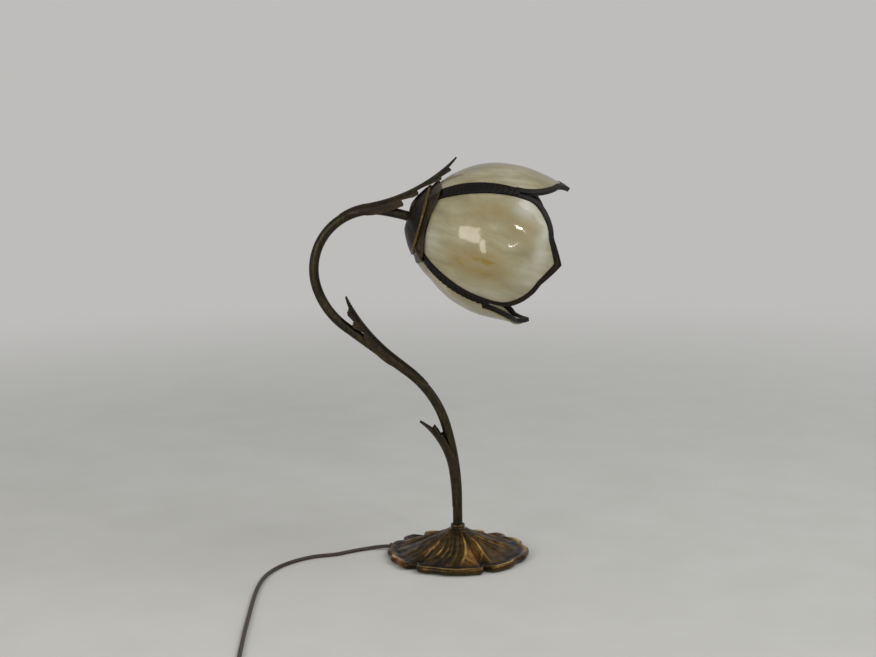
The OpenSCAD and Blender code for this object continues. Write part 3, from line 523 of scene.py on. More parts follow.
# %% [markdown]
# The chain has 72 points: 44 down the top of the leaf, 18 round the rolled rim and 10 back under it.
# It is drawn level, a point to a millimetre, so that after the spin a point's distance from the
# middle says which point of the section it is.

# %% Spin the pad
TOP_RINGS, RIM_RINGS, PAD_STEPS = 44, 18, 480
# The underside's rings, as shares of the way out
UNDER_SHARES = [1, 0.85, 0.7, 0.55, 0.4, 0.28, 0.2]
FIRST_UNDER = TOP_RINGS + RIM_RINGS
pad_rings = FIRST_UNDER + len(UNDER_SHARES) + 3
lily_pad, ring, angle = rings("lily_pad", pad_rings, PAD_STEPS)
print("pad rings:", pad_rings, "points:", len(ring))

# %% [markdown]
# Each vein is a rounded ridge with a ditch on either side. Between the veins the leaf is sunk a
# little, as in life. The relief fades out at the collar and at the rim.

# %% Raise the veins
RIDGE_HALF, FINE_RIDGE, STRONG_RIDGE = 1.15, 0.95, 1.35
# Ditches: distance from the vein, half width, depth
FINE_DITCH, STRONG_DITCH = (2.1, 1.6, 0.35), (2.3, 1.7, 0.5)
SUNK_DEPTH, SUNK_FROM_VEIN = 1.0, 6
edge = pad_edge(angle)
span = edge - 2 * VALLEY - CROWN_HOLE
u = np.clip(ring / (TOP_RINGS - 1), 0, 1)
radius = CROWN_HOLE + span * u
x, y = radius * np.cos(np.radians(angle)), radius * np.sin(np.radians(angle))


def ridge_and_ditch(far, ridge, away, half, deep):
    return ridge * np.clip(1 - (far / RIDGE_HALF) ** 2, 0, 1) ** 1.5 - deep * bell((far - away) / half)


far_fine, far_strong = distance_to(fine_veins, x, y), distance_to(STRONG_VEINS, x, y)
relief = ridge_and_ditch(far_fine, FINE_RIDGE, *FINE_DITCH)
relief += ridge_and_ditch(far_strong, STRONG_RIDGE, *STRONG_DITCH)
sunk = SUNK_DEPTH * (1 - np.exp(-(np.minimum(far_fine, far_strong) / SUNK_FROM_VEIN) ** 2))
relief = relief * bell((u - 0.5) / 0.62) - sunk * bell((u - 0.72) / 0.5)
height = pad_top(angle, u) + relief
print("relief in mm:", round(float(relief.min()), 2), "to", round(float(relief.max()), 2))

# %% [markdown]
# The rim is the arc of a roll that starts on the leaf's slope and turns in under it. From there the
# underside runs back at the casting's wall thickness, to a flat seat for the nut under the crown.

# %% Roll the rim and close the underside
ROLL_FROM, ROLL_SWEEP = 125, 205
HUB_SEAT_R, HUB_SEAT_Z = 13, CROWN_Z - PAD_WALL - 4
rim_half = (rim_top(angle) - FELT_T) / 2
roll = np.radians(ROLL_FROM - ROLL_SWEEP * (ring - TOP_RINGS) / (RIM_RINGS - 1))
on_rim = (ring >= TOP_RINGS) & (ring < FIRST_UNDER)
radius = np.where(on_rim, edge - rim_half + rim_half * np.cos(roll), radius)
height = np.where(on_rim, FELT_T + rim_half + rim_half * np.sin(roll), height)
low_rows = [(edge - rim_half - PAD_WALL, FELT_T)]
low_rows += [(CROWN_HOLE + (span - PAD_WALL) * low, pad_top(angle, low) - PAD_WALL) for low in UNDER_SHARES]
low_rows += [(HUB_SEAT_R, HUB_SEAT_Z), (CROWN_HOLE, HUB_SEAT_Z)]
for k, (low_r, low_z) in enumerate(low_rows):
    here = ring == FIRST_UNDER + k
    radius, height = np.where(here, low_r, radius), np.where(here, low_z, height)
lay_rings(lily_pad, radius, height, angle)
print("rows under the pad:", len(low_rows))

# %% [markdown]
# The flex leaves through the rim on the left, where the casting has an arch for its rubber grommet.
# A round cutter and a square one below it take that hole out of the finished form.

# %% Cut the outlet
GROMMET_R = 3.4
CUT_LONG = 30
CUT_OUTSIDE = 10
CUT_BELOW = 2


def cut_away(piece, cutter):
    finish_with(piece, "BOOLEAN", operation="DIFFERENCE", solver="EXACT", object=cutter)
    bpy.data.objects.remove(cutter)


cut_x, cut_y = (-PAD_R - CUT_OUTSIDE + CUT_LONG / 2) * MM, OUTLET_Y * MM
unclutter()
bpy.ops.mesh.primitive_cylinder_add(
    vertices=48, radius=GROMMET_R * MM, depth=CUT_LONG * MM, location=(cut_x, cut_y, OUTLET_Z * MM),
    rotation=(0, math.pi / 2, 0))
cut_away(lily_pad, named("outlet_round"))
bpy.ops.mesh.primitive_cube_add(
    size=1, location=(cut_x, cut_y, (OUTLET_Z - CUT_BELOW) / 2 * MM),
    scale=(CUT_LONG * MM, 2 * GROMMET_R * MM, (OUTLET_Z + CUT_BELOW) * MM))
cut_away(lily_pad, named("outlet_square"))
print("pad's faces after the cut:", len(lily_pad.data.polygons))

# %% [markdown]
# Wear and dirt are kept as numbers on the points. Hands and dusters polish the rim and the strong
# veins to gold, and the dark patina stays in the ditches and between the lobes. On the top of the
# rim at the front, that gold is also a painted highlight.

# %% Wear and painted highlight on the pad
# Where the rim is polished, and at the front also painted with a highlight: middle and half width in degrees
BRIGHT_RIM = [(-100, 34), (-46, 20), (-155, 16), (20, 40), (70, 18), (115, 14)]
# Spots on the leaf: middle and half sizes in millimetres
SMOOTH_PANEL, COPPER_SPOT = (14, -42, 6, 14), (-61, -40, 7, 9)
# A notch this deep isn't polished at all, in millimetres
DULL_NOTCH = 9
x, y, z = (places(lily_pad) / MM).T
angle, reach = np.degrees(np.arctan2(y, x)), np.hypot(x, y)
edge = pad_edge(angle)
u = np.clip((reach - CROWN_HOLE) / (edge - 2 * VALLEY - CROWN_HOLE), 0, 1)


def spot(x_at, y_at, x_half, y_half):
    return np.exp(-(((x - x_at) / x_half) ** 2 + ((y - y_at) / y_half) ** 2))


vein = np.clip(1 - (distance_to(fine_veins, x, y) / 1.5) ** 2, 0, 1) * bell((u - 0.55) / 0.6)
strong = np.clip(1 - (distance_to(STRONG_VEINS, x, y) / 1.7) ** 2, 0, 1) * bell((u - 0.5) / 0.75)
# Only the top of the rim's roll turns gold: polish, and at the front also a painted highlight
rim = bell((reach - edge + 3.6) / 3.6) * np.where(z > 4, 1, 0)
polish_and_highlight = np.max([bell(around(angle - middle) / half) ** 0.5 for middle, half in BRIGHT_RIM], axis=0)
in_notch = (PAD_R - edge) / DULL_NOTCH
valley = bell((reach - edge + 9.5) / 4.5) * np.where(z > 3, 1, 0)
panel = spot(*SMOOTH_PANEL)
# Wear on veins and rim with a painted highlight on the front rim, darker patina in the valley and notches
wear_and_highlight = 0.42 + 0.16 * vein + 0.5 * strong + 0.72 * rim * polish_and_highlight * np.clip(1 - in_notch, 0, 1)
wear_and_highlight += 0.36 * panel - 0.24 * valley - 0.2 * np.clip(in_notch, 0, 1) * u
note(lily_pad, "wear_and_highlight", np.clip(wear_and_highlight, 0, 1.2))
note(lily_pad, "warm", np.clip(spot(*COPPER_SPOT) + 0.8 * panel, 0, 1))
in_place(lily_pad)
stands_for(lily_pad, "lamp", "pad_metal", "base_casting")

# %% [markdown]
# ## Following the stem
# The stem was bent from one straight tube: straight runs and arcs, each given as a radius and an
# angle. To place a leaf on it, the same walk is taken along its centreline.

# %% The walk along the stem
TUBE_R = 5
THREAD_END = 11.65
FOOT_RUN, END_RUN = 30.5, 22
# Radius and angle of an arc, or 0 and the length of a straight run
RUNS = [
    (0, CROWN_Z - THREAD_END + FOOT_RUN), (290, 16), (108, 37), (0, 79), (81, -36), (61.5, -117), (230, -6),
    (0, END_RUN),
]


def ahead_of(degrees):
    """One step in that direction, in the upright plane of the lamp."""
    return np.array([math.cos(math.radians(degrees)), math.sin(math.radians(degrees))])


def run_length(run):
    return run[1] if run[0] == 0 else run[0] * math.radians(abs(run[1]))


def step_on(state, run, length):
    """Place and heading after a length of the run, from a place and heading."""
    place, heading = state
    if run[0] == 0:
        return place + length * ahead_of(heading), heading
    side = math.copysign(1, run[1])
    turned = side * math.degrees(length / run[0])
    middle = place + run[0] * ahead_of(heading + 90 * side)
    return middle + run[0] * ahead_of(heading + turned - 90 * side), heading + turned


def stem_at(length):
    """Place and heading at a length along the stem, which starts upright."""
    state = (np.array([0.0, THREAD_END]), 90)
    for i, run in enumerate(RUNS):
        here = run_length(run)
        if length <= here or i == len(RUNS) - 1:
            return step_on(state, run, length)
        state = step_on(state, run, here)
        length -= here


stem_end = sum(run_length(run) for run in RUNS)
print("stem in mm:", round(stem_end, 1))

# %% [markdown]
# ## The leaves
# Each leaf is a long grass blade: a sheath that wraps the stem and then opens into a hollow blade
# with torn, tooth-like edges. A flat grid is the natural start, as the real leaf was cut from a
# sheet. Its rows take the shape of the section there, and the veins are raised by the point's share
# across. A thickness comes last, as a modifier, so that the sheet keeps its gauge.

# %% Sizes of the leaves
LEAF_T = 1.1
# A tooth is a share of the way along the blade and the blade's half width there
LEAVES = {
    "leaf_lower": dict(root=CROWN_Z - THREAD_END + 22.5, sheath=40, blade=67, bend=43, side=1, teeth=[
        (0.18, 9.5), (0.4, 8.5), (0.55, 9), (0.57, 6.6), (0.63, 7.2), (0.73, 7.6), (0.745, 3.2), (0.87, 1.8),
        (1, 0.7)]),
    "leaf_middle": dict(root=CROWN_Z - THREAD_END + 157.5, sheath=44, blade=83, bend=25, side=-1, teeth=[
        (0.12, 11.4), (0.28, 9.6), (0.41, 8.4), (0.46, 5.6), (0.56, 10), (0.61, 10.4), (0.63, 6.4), (0.75, 8),
        (0.805, 6.2), (0.82, 3.2), (0.92, 1.9), (1, 0.7)]),
    "leaf_upper": dict(root=stem_end - END_RUN - 68, sheath=26, blade=111, bend=37, side=1, teeth=[
        (0.1, 12), (0.2, 11.8), (0.3, 11.6), (0.315, 5.4), (0.43, 7.8), (0.48, 7.6), (0.5, 3), (0.55, 3),
        (0.65, 5), (0.735, 7.4), (0.75, 4.6), (0.8, 5.2), (0.86, 6.4), (0.87, 2.2), (0.94, 1.4), (1, 0.6)]),
}
for name, leaf in LEAVES.items():
    print(name, "length in mm:", leaf["sheath"] + leaf["blade"], "teeth:", len(leaf["teeth"]))

# %% [markdown]
# A row of the leaf is a place on its back, a heading, the radius and half angle of its hollow, the
# straight wall beyond that, how far its edges lean forward, and its share of the full thickness. In
# the sheath the rows follow the stem and wrap it. In the blade they follow an arc away from it.

# %% Rows of a leaf
SHEATH_GAP, SHEATH_WRAP, SHEATH_TAPER = 0.45, 140, 0.3
SHEATH_CLEAR = 0.06
BLADE_OPENS = 3
TOOTH_LEAN = 0.45
SHEATH_ROW, BLADE_ROW = 1.6, 1.4


def sheath_row(place, heading, share):
    k = SHEATH_TAPER + (1 - SHEATH_TAPER) * share
    r = TUBE_R + SHEATH_CLEAR + SHEATH_GAP * share + k * LEAF_T
    return place, heading, r, k * SHEATH_WRAP, 0, 0, k


def blade_row(place, heading, t, tooth):
    r = TUBE_R + SHEATH_GAP + LEAF_T + BLADE_OPENS * t
    deep = tooth > r
    half = 90 if deep else math.degrees(math.acos(1 - tooth / r))
    return place, heading, r, half, tooth - r if deep else 0, TOOTH_LEAN * tooth, 1


def leaf_rows(leaf):
    """Rows from the sheath's end to the tip, with extra ones between the teeth."""
    count = math.ceil(leaf["sheath"] / SHEATH_ROW)
    rows = [sheath_row(*stem_at(leaf["root"] + leaf["sheath"] * i / count), i / count) for i in range(count + 1)]
    start = stem_at(leaf["root"] + leaf["sheath"])
    arc = (leaf["blade"] / math.radians(leaf["bend"]), leaf["side"] * leaf["bend"])
    t, tooth = 0.0, leaf["teeth"][0][1]
    for next_t, next_tooth in leaf["teeth"]:
        count = max(2, math.ceil((next_t - t) * leaf["blade"] / BLADE_ROW))
        for i in range(1, count + 1):
            k = i / count
            # A tooth rises in a hollow curve to its point and falls straight
            rise = k ** 1.5 if next_tooth > tooth else k
            here = t + (next_t - t) * k
            wide = tooth + (next_tooth - tooth) * rise
            rows.append(blade_row(*step_on(start, arc, leaf["blade"] * here), here, wide))
        t, tooth = next_t, next_tooth
    return rows


print("rows of the lower leaf:", len(leaf_rows(LEAVES["leaf_lower"])))

# %% [markdown]
# The rib and the slanted side veins are raised on the outer face, and the point's share across
# says where it lies on the section. Ribs and torn edges are rubbed, so they get more wear.

# %% A leaf's points
ACROSS = 48
RIB_HIGH, RIB_SHARP = 0.4, 9
SIDE_VEIN_HIGH, SIDE_VEIN_STEP, SIDE_VEIN_SLANT = 0.22, 3.4, 9
OPEN_AT = 60


def on_rib(x):
    return math.exp(-(x * RIB_SHARP) ** 2)


def leaf_relief(x, along, k, half, tip):
    """Height of the rib and of the slanted side veins, in millimetres."""
    slant = (along - SIDE_VEIN_SLANT * abs(x)) / SIDE_VEIN_STEP
    vein = SIDE_VEIN_HIGH * (0.5 + 0.5 * math.cos(2 * math.pi * slant)) ** 3
    vein *= min(1, 6 * abs(x)) * (1 - abs(x) ** 6) * min(1.0, half / OPEN_AT)
    return k * (RIB_HIGH * on_rib(x) + vein) * (1 - tip ** 4)


def leaf_point(row, x, along, tip, side):
    """A point at a share x across the row, from -1 to 1."""
    place, heading, r, half, wall, lean, k = row
    bow = r * math.radians(half)
    run = abs(x) * (bow + wall)
    a = min(run, bow) / bow * math.radians(half)
    drop = max(0, run - bow)
    r += leaf_relief(x, along, k, half, tip) - 0.05
    high = r * math.cos(a) - drop * math.sin(a)
    out = math.copysign(1, x) * (r * math.sin(a) + drop * math.cos(a))
    flat = place + high * ahead_of(heading + 90 * side) + lean * x * x * ahead_of(heading)
    return flat[0], -side * out, flat[1]


def grid(name, rows, columns):
    """A grid primitive, with the row and column of each of its points."""
    unclutter()
    bpy.ops.mesh.primitive_grid_add(x_subdivisions=columns, y_subdivisions=rows, size=2)
    piece = named(name)
    x, y = places(piece)[:, :2].T
    return piece, np.rint((y + 1) / 2 * rows).astype(int), np.rint((x + 1) / 2 * columns).astype(int)


print("a leaf has", ACROSS + 1, "points across")

# %% [markdown]
# The grid's outer face is the one that was shaped, so the thickness goes towards the stem. Which way
# that is comes from the normal on the keel. The thin end of the sheath takes less of it, as a share
# in a vertex group.

# %% Make the leaves
for name, leaf in LEAVES.items():
    rows = leaf_rows(leaf)
    piece, row_of, column_of = grid("finished_" + name, len(rows) - 1, ACROSS)
    steps = [np.linalg.norm(b[0] - a[0]) for a, b in zip(rows, rows[1:])]
    along = np.concatenate([[0], np.cumsum(steps)])
    shares = 2 * column_of / ACROSS - 1
    spots = [leaf_point(rows[row], x, along[row], along[row] / along[-1], leaf["side"])
             for row, x in zip(row_of, shares)]
    move_to(piece, np.array(spots) * MM)
    note(piece, "wear_and_highlight", [0.35 + 0.3 * (on_rib(x) + 0.6 * abs(x) ** 8) for x in shares])
    gauge = piece.vertex_groups.new(name="gauge")
    for vertex, row in enumerate(row_of):
        gauge.add([vertex], rows[row][-1], "REPLACE")
    halfway = len(rows) // 2
    keel = int(np.flatnonzero((row_of == halfway) & (column_of == ACROSS // 2))[0])
    outwards = ahead_of(rows[halfway][1] + 90 * leaf["side"])
    faces_out = piece.data.vertices[keel].normal.dot(Vector((outwards[0], 0, outwards[1]))) > 0
    finish_with(piece, "SOLIDIFY", thickness=LEAF_T * MM, offset=-1 if faces_out else 1, use_even_offset=False,
                vertex_group="gauge")
    weld(piece, FINE_GAP)
    in_place(piece, 40)
    stands_for(piece, "lamp", "leaf_metal", name)

# %% [markdown]
# ## The shade's own axes
# The tulip hangs tilted at the stem's end. Everything in it is made round an upright axis first and
# then laid along the stem's last run. `in_shade` does that move, on the points themselves.

# %% Lay a piece into the shade
CALYX_DEPTH, CALYX_ON_STEM = 12, 19
rim_place, rim_heading = stem_at(stem_end - CALYX_ON_STEM)
rim_place = rim_place + CALYX_DEPTH * ahead_of(rim_heading)


def in_shade(points):
    """Points round an upright axis, in millimetres, to their place in the lamp, in metres."""
    x, y, z = points.T
    forward = ahead_of(rim_heading)
    across = ahead_of(rim_heading - 90)
    flat = rim_place[None, :] + z[:, None] * forward[None, :] + x[:, None] * across[None, :]
    return np.column_stack([flat[:, 0], y, flat[:, 1]]) * MM


print("calyx rim's middle in mm:", [round(v, 2) for v in rim_place])

# %% [markdown]
# ## The petals
# All four petals are parts of one bowl that was drawn out to a lip: two arcs, a back one to the
# widest place and a larger one from there on. A petal's outline is a square back, full shoulders
# and a blunt point. `half_width` gives it at a distance along the petal, drawn in by any inset, so
# the glass and the lead round it come from one rule.

# %% The petals' form
WIDE_R, WIDE_S = 80, 86
BACK_ARC, FRONT_ARC = 97, 139
PETAL_LOW = 3
GLASS_T = 2.8
CAME_W, CAME_PROUD, GROOVE = 5, 1, 2.2
CORNER = 0.05
SEAM_HALF = 44.8
SHOULDER_W, SHOULDER_S, SHOULDER_DEG = 11, WIDE_S - 4, 75
TIP_DRAW, TIP_BLUNT = 1.6, 0.9
AT_BOTTOM, AT_BACK, AT_TOP, AT_FRONT = 0, 90, 180, 270
# Turn round the axis, tip's distance from the calyx, shoulder's radius, and how far the middle is
# flatter than the bowl
PETALS = {
    "front": (AT_FRONT, 145, 50, 0), "top": (AT_TOP, 138, 45.5, 0), "back": (AT_BACK, 145, 50, 0),
    "bottom": (AT_BOTTOM, 135, 41, 5.4),
}


def petal_r(s):
    """Radius of the bowl at a distance along it."""
    arc = np.where(s < WIDE_S, BACK_ARC, FRONT_ARC)
    return WIDE_R - arc + np.sqrt(np.maximum(arc ** 2 - (s - WIDE_S) ** 2, 1))


def half_width(s, inset, tip, shoulder):
    """Half of the petal's width across, seen square on."""
    turn = math.radians(SHOULDER_DEG)
    r = shoulder - inset
    arc_end = SHOULDER_S + r * math.sin(turn)
    arc_w = SHOULDER_W + r * math.cos(turn)
    end = tip - inset * TIP_DRAW
    on_arc = SHOULDER_W + np.sqrt(np.maximum(r * r - np.maximum(s - SHOULDER_S, 0) ** 2, 0))
    to_tip = arc_w * np.clip((end - s) / (end - arc_end), 0, 1) ** TIP_BLUNT
    width = np.where(s < arc_end, on_arc, to_tip)
    return np.where(s < SHOULDER_S, 2 * WIDE_R, width)


def half_angle(s, inset, tip, shoulder):
    """Half of the petal's width as an angle round the axis, in radians."""
    straight = math.radians(SEAM_HALF) - inset / WIDE_R
    free = np.arcsin(np.clip(half_width(s, inset, tip, shoulder) / petal_r(s), 0, 1))
    # Where the free edge leaves the seam, the corner is rounded
    near = np.clip(0.5 + (free - straight) / (2 * CORNER), 0, 1)
    return free * (1 - near) + straight * near - CORNER * near * (1 - near)


def on_petal(turn, a, s, out):
    """Points of a petal: angle from its middle, distance along, and height above the glass."""
    arc = np.where(s < WIDE_S, BACK_ARC, FRONT_ARC)
    lean = np.arcsin(np.clip((s - WIDE_S) / arc, -1, 1))
    r = petal_r(s) + out * np.cos(lean)
    z = s + out * np.sin(lean)
    b = a + math.radians(turn)
    return np.column_stack([r * np.cos(b), r * np.sin(b), z])


print("widest radius in mm:", WIDE_R, "tips:", {name: tip for name, (_, tip, _, _) in PETALS.items()})

# %% [markdown]
# ## Bent glass
# Slag glass is rolled, then softened over a mould. Each sheet has its own clouds of amber and of
# bluish white, so their places are chosen petal by petal, and the material draws the fine streaks.
# On the front petal the bluish white towards the tip is partly painted light.

# %% Clouds of colour in the glass
# Distance along, degrees from the petal's middle, half length, half width in degrees, how much
GLASS_SPOTS = {
    "front": {
        "amber": [(64, 12, 22, 12, 0.9), (75, -26, 22, 6, 0.75), (48, 15, 12, 8, 0.5), (98, -17, 14, 9, 0.6),
                  (85, 20, 20, 9, 0.4), (52, -14, 20, 10, 0.35)],
        # The bluish white towards this petal's tip is partly the glass's colour, partly painted light
        "bluish_and_lit": [(97, -36, 14, 9, 1.0), (122, -12, 10, 20, 0.8), (14, 12, 9, 14, 0.55), (112, 18, 12, 12, 0.3),
                 (88, 36, 22, 6, 0.4)],
    },
    "top": {
        "amber": [(60, -14, 45, 5, 0.5), (80, 12, 30, 5, 0.4)],
        "bluish_and_lit": [(95, -25, 30, 8, 0.7), (50, -30, 30, 5, 0.5)],
    },
    "back": {"amber": [(70, 8, 25, 12, 0.7)], "bluish_and_lit": [(110, -20, 20, 15, 0.6)]},
    "bottom": {"amber": [(80, -10, 40, 8, 0.5)], "bluish_and_lit": [(40, 20, 25, 12, 0.5)]},
}
print("clouds on the front petal:", {colour: len(spots) for colour, spots in GLASS_SPOTS["front"].items()})

# %% [markdown]
# Bent glass keeps a gentle unevenness: long swells crossed by short ripples that break up every
# reflection. A petal is a grid on the bowl with that unevenness, and gets its thickness afterwards.
# A second map keeps millimetres along and across the petal, for the streaks.

# %% Make the glass petals
GLASS_ROWS, GLASS_COLUMNS = 96, 84
GLASS_INSET = CAME_W - GROOVE
# Swells and ripples: height, size, how much shorter along the petal, seed
RIPPLES = [(0.55, 27, 1, 3.1), (0.3, 12, 0.6, 8.2), (0.07, 5, 1, 1.7)]
# The glass stays this far below the plain bowl, so that it never goes past the CAD's size
SWELL_LOW, SWELL_HIGH = -0.8, -0.05
# A flatter petal starts to sink here, and does so over these lengths at its two ends
SINK_FROM, SINK_IN, SINK_OUT = 6, 18, 16
# Each petal gets its own part of the noise and of the map
NOISE_APART, MAP_APART = 40.0, 0.2


def wave(points, size_mm, seed):
    """Smooth noise at the points, with features of about that size."""
    return np.array([noise.noise(Vector((x / size_mm + seed, y / size_mm, z / size_mm))) for x, y, z in points])


glass_pieces = []
for number, (name, (turn, tip, shoulder, flatter)) in enumerate(PETALS.items()):
    piece, row, column = grid("finished_glass_" + name, GLASS_ROWS, GLASS_COLUMNS)
    low, end = PETAL_LOW + GLASS_INSET, tip - GLASS_INSET * TIP_DRAW
    # Rows come closer together towards the tip, where the outline turns fast
    s = low + (end - 0.05 - low) * np.sin(row / GLASS_ROWS * math.pi / 2 * 0.999) ** 0.9
    x = 2 * column / GLASS_COLUMNS - 1
    a = x * np.maximum(half_angle(s, GLASS_INSET, tip, shoulder), 0.004)
    flat = np.column_stack([petal_r(s) * a, s, np.full(len(s), NOISE_APART * number)])
    swell = sum(high * wave(flat * [1, along, 1], size, seed) for high, size, along, seed in RIPPLES)
    sunk = flatter * np.clip((s - SINK_FROM) / SINK_IN, 0, 1) * (1 - x * x) ** 1.5
    sunk *= np.clip((tip - 1 - s) / SINK_OUT, 0, 1)
    move_to(piece, in_shade(on_petal(turn, a, s, np.clip(swell - 0.25, SWELL_LOW, SWELL_HIGH) - sunk)))
    chart = piece.data.uv_layers.new(name="across_and_along")
    corners = np.empty(len(piece.data.loops), dtype=int)
    piece.data.loops.foreach_get("vertex_index", corners)
    chart.data.foreach_set("uv", (flat[corners, :2] * MM + [MAP_APART * number, 0]).astype(np.float32).ravel())
    blur = 0.35 + 0.9 * wave(flat, 16, 4.4 + number)
    for colour, spots in GLASS_SPOTS[name].items():
        near = sum(much * np.exp(-((s - at) / long) ** 2 - ((np.degrees(a) - side) / wide) ** 2)
                   for at, side, long, wide, much in spots)
        note(piece, colour, np.clip(near * (0.75 + blur * 0.6), 0, 1))
    weld(piece, FINE_GAP)
    finish_with(piece, "SOLIDIFY", thickness=GLASS_T * MM, offset=-1, use_even_offset=False)
    weld(piece, FINE_GAP)
    in_place(piece, 50)
    stands_for(piece, "lamp", "slag_glass", "glass_" + name)
    glass_pieces.append(piece)

# %% [markdown]
# ## Lead cames
# Each petal sits in its own closed frame of lead channel, darkened after soldering. A ring is bent
# to the petal's edge: a torus whose turns run along the outline and whose section is a flat channel
# with soft corners. Hand-dressed lead is never quite even, so it gets a slight waviness.

# %% Make the cames
SIDE_STEPS, BACK_STEPS, SECTION_STEPS = 110, 24, 28
LOOP_STEPS = 2 * SIDE_STEPS + BACK_STEPS
DEEP = -GLASS_T - CAME_PROUD
# A power below 1 squares a circle up: the smaller, the sharper the corners
SOFT_CORNERS = 0.32
DENT_HIGH, DENT_MM = 0.16, 6


def came_section(j):
    """Inset from the outline and height above the glass, round a flat channel with soft corners."""
    a = 2 * np.pi * j / SECTION_STEPS
    across, up = (np.sign(v) * np.abs(v) ** SOFT_CORNERS for v in (np.cos(a), np.sin(a)))
    return CAME_W / 2 * (1 + across), (CAME_PROUD + DEEP + (CAME_PROUD - DEEP) * up) / 2


def came_places(step, inset, tip, shoulder):
    """Angle and distance along of the outline's points, drawn in by each point's inset."""
    low, end = PETAL_LOW + inset, tip - inset * TIP_DRAW
    share = np.where(step < SIDE_STEPS, step / SIDE_STEPS, (2 * SIDE_STEPS - step) / SIDE_STEPS)
    on_side = step < 2 * SIDE_STEPS
    s = low + (end - low) * np.sin(np.clip(share, 0, 1) * math.pi / 2) ** 0.9
    s = np.where(on_side, s, low)
    a = half_angle(s, inset, tip, shoulder)
    back_share = 1 - 2 * (step - 2 * SIDE_STEPS) / BACK_STEPS
    a = np.where(on_side, np.where(step < SIDE_STEPS, a, -a), -a * back_share)
    return np.where(step == SIDE_STEPS, 0, a), s


for number, (name, (turn, tip, shoulder, _)) in enumerate(PETALS.items()):
    unclutter()
    bpy.ops.mesh.primitive_torus_add(major_segments=LOOP_STEPS, minor_segments=SECTION_STEPS,
                                     major_radius=0.06, minor_radius=0.002)
    piece = named("finished_came_" + name)
    index = np.arange(len(piece.data.vertices))
    step, j = index // SECTION_STEPS, index % SECTION_STEPS
    inset, out = came_section(j)
    a, s = came_places(step, inset, tip, shoulder)
    rough_place = np.column_stack([petal_r(s) * a, s, 50.0 * number + 3 * out])
    dent = DENT_HIGH * wave(rough_place, DENT_MM, 5.5)
    points = on_petal(turn, a, s, np.minimum(out + dent, CAME_PROUD + 0.05))
    move_to(piece, in_shade(points))
    weld(piece, FINE_GAP)
    # The flat face is painted lighter towards its middle: partly rubbed lead, partly a painted sheen
    from_middle = np.abs(2 * inset / CAME_W - 1)
    note(piece, "wear_and_highlight", np.where(out > 0.6, 0.62 - 0.3 * from_middle, 0.2))
    in_place(piece, 60)
    stands_for(piece, "lamp", "came", "came_" + name)

# %% [markdown]
# ## Seam bands
# Where two frames meet, a cast strip covers the seam: a row of slanted leaflets like a laurel, and
# plain cross ridges nearer the calyx, between two raised borders. One strip is modelled on the
# first seam, from a grid whose points are raised by that relief.

# %% Relief of a band
BAND_W, BAND_T, BAND_GAUGE = 14, 1.5, 0.5
BAND_LOW, BAND_END = PETAL_LOW, WIDE_S + 1
BAND_ROWS, BAND_COLUMNS = 330, 28
LEAFLET_STEP, LEAFLET_SLANT, RIDGE_STEP = 5.4, 0.75, 3.6
# The ridges pass into leaflets from here on, over this length
LAUREL_FROM, LAUREL_BLEND = 34, 6
band, row, column = grid("finished_band_front_top", BAND_ROWS, BAND_COLUMNS)
s = BAND_LOW + (BAND_END - BAND_LOW) * row / BAND_ROWS
x = 2 * column / BAND_COLUMNS - 1
off = np.abs(x)
laurel = np.abs(np.sin(np.pi * (s / LEAFLET_STEP + LEAFLET_SLANT * off))) ** 0.7
laurel *= 0.35 + 0.65 * np.sin(np.pi * np.clip(off, 0, 1)) ** 0.6
ridged = 0.35 + 0.65 * np.abs(np.sin(np.pi * s / RIDGE_STEP)) ** 0.8
blend = np.clip((s - LAUREL_FROM) / LAUREL_BLEND, 0, 1)
border = 0.75 * bell((off - 0.88) / 0.12)
field = 0.65 * (ridged * (1 - blend) + laurel * blend) * np.clip((0.92 - off) / 0.1, 0, 1)
form = np.maximum(field, border)
note(band, "wear_and_highlight", 0.1 + 0.3 * np.clip(form, 0, 1))
print("leaflets on a band:", round((BAND_END - LAUREL_FROM) / LEAFLET_STEP))

# %% [markdown]
# The strip narrows to both ends, and falls to its long sides and to its free end. Its sides go down
# into the glass, so that no gap shows under them.

# %% Shape a band
SIDE_FOOT = -0.8
uneven = 0.12 * wave(np.column_stack([x * 5, s, x * 0]), 4, 9.4)
side_fall = np.clip((1 - off) / 0.12, 0, 1) ** 0.5
end_fall = np.clip((BAND_END - s) / 3, 0, 1) ** 0.5
out = CAME_PROUD + 0.1 + (BAND_T - 0.15) * np.clip(form + uneven, 0, 1) * side_fall * end_fall
out = np.where(off > 0.99, SIDE_FOOT, out)
taper = 0.72 + 0.28 * np.sin(np.pi * np.clip((s - BAND_LOW) / (BAND_END - BAND_LOW), 0, 1) ** 0.8)
half = BAND_W / 2 * taper * (0.6 + 0.4 * np.clip((BAND_END - s) / 6, 0, 1) ** 0.5)
band_points = on_petal(0, x * half / petal_r(s), s, out)
print("band's width in mm:", round(2 * float(half.min()), 1), "to", round(2 * float(half.max()), 1))

# %% [markdown]
# All four bands are copies of that strip, each with a mesh of its own, turned round the shade's
# axis to its seam.

# %% Lay the bands
BANDS = {
    "front_top": AT_TOP + 45, "back_top": AT_BACK + 45, "back_bottom": AT_BOTTOM + 45,
    "front_bottom": AT_FRONT + 45,
}


def turned(points, degrees):
    x, y, z = points.T
    c, s = math.cos(math.radians(degrees)), math.sin(math.radians(degrees))
    return np.column_stack([c * x - s * y, s * x + c * y, z])


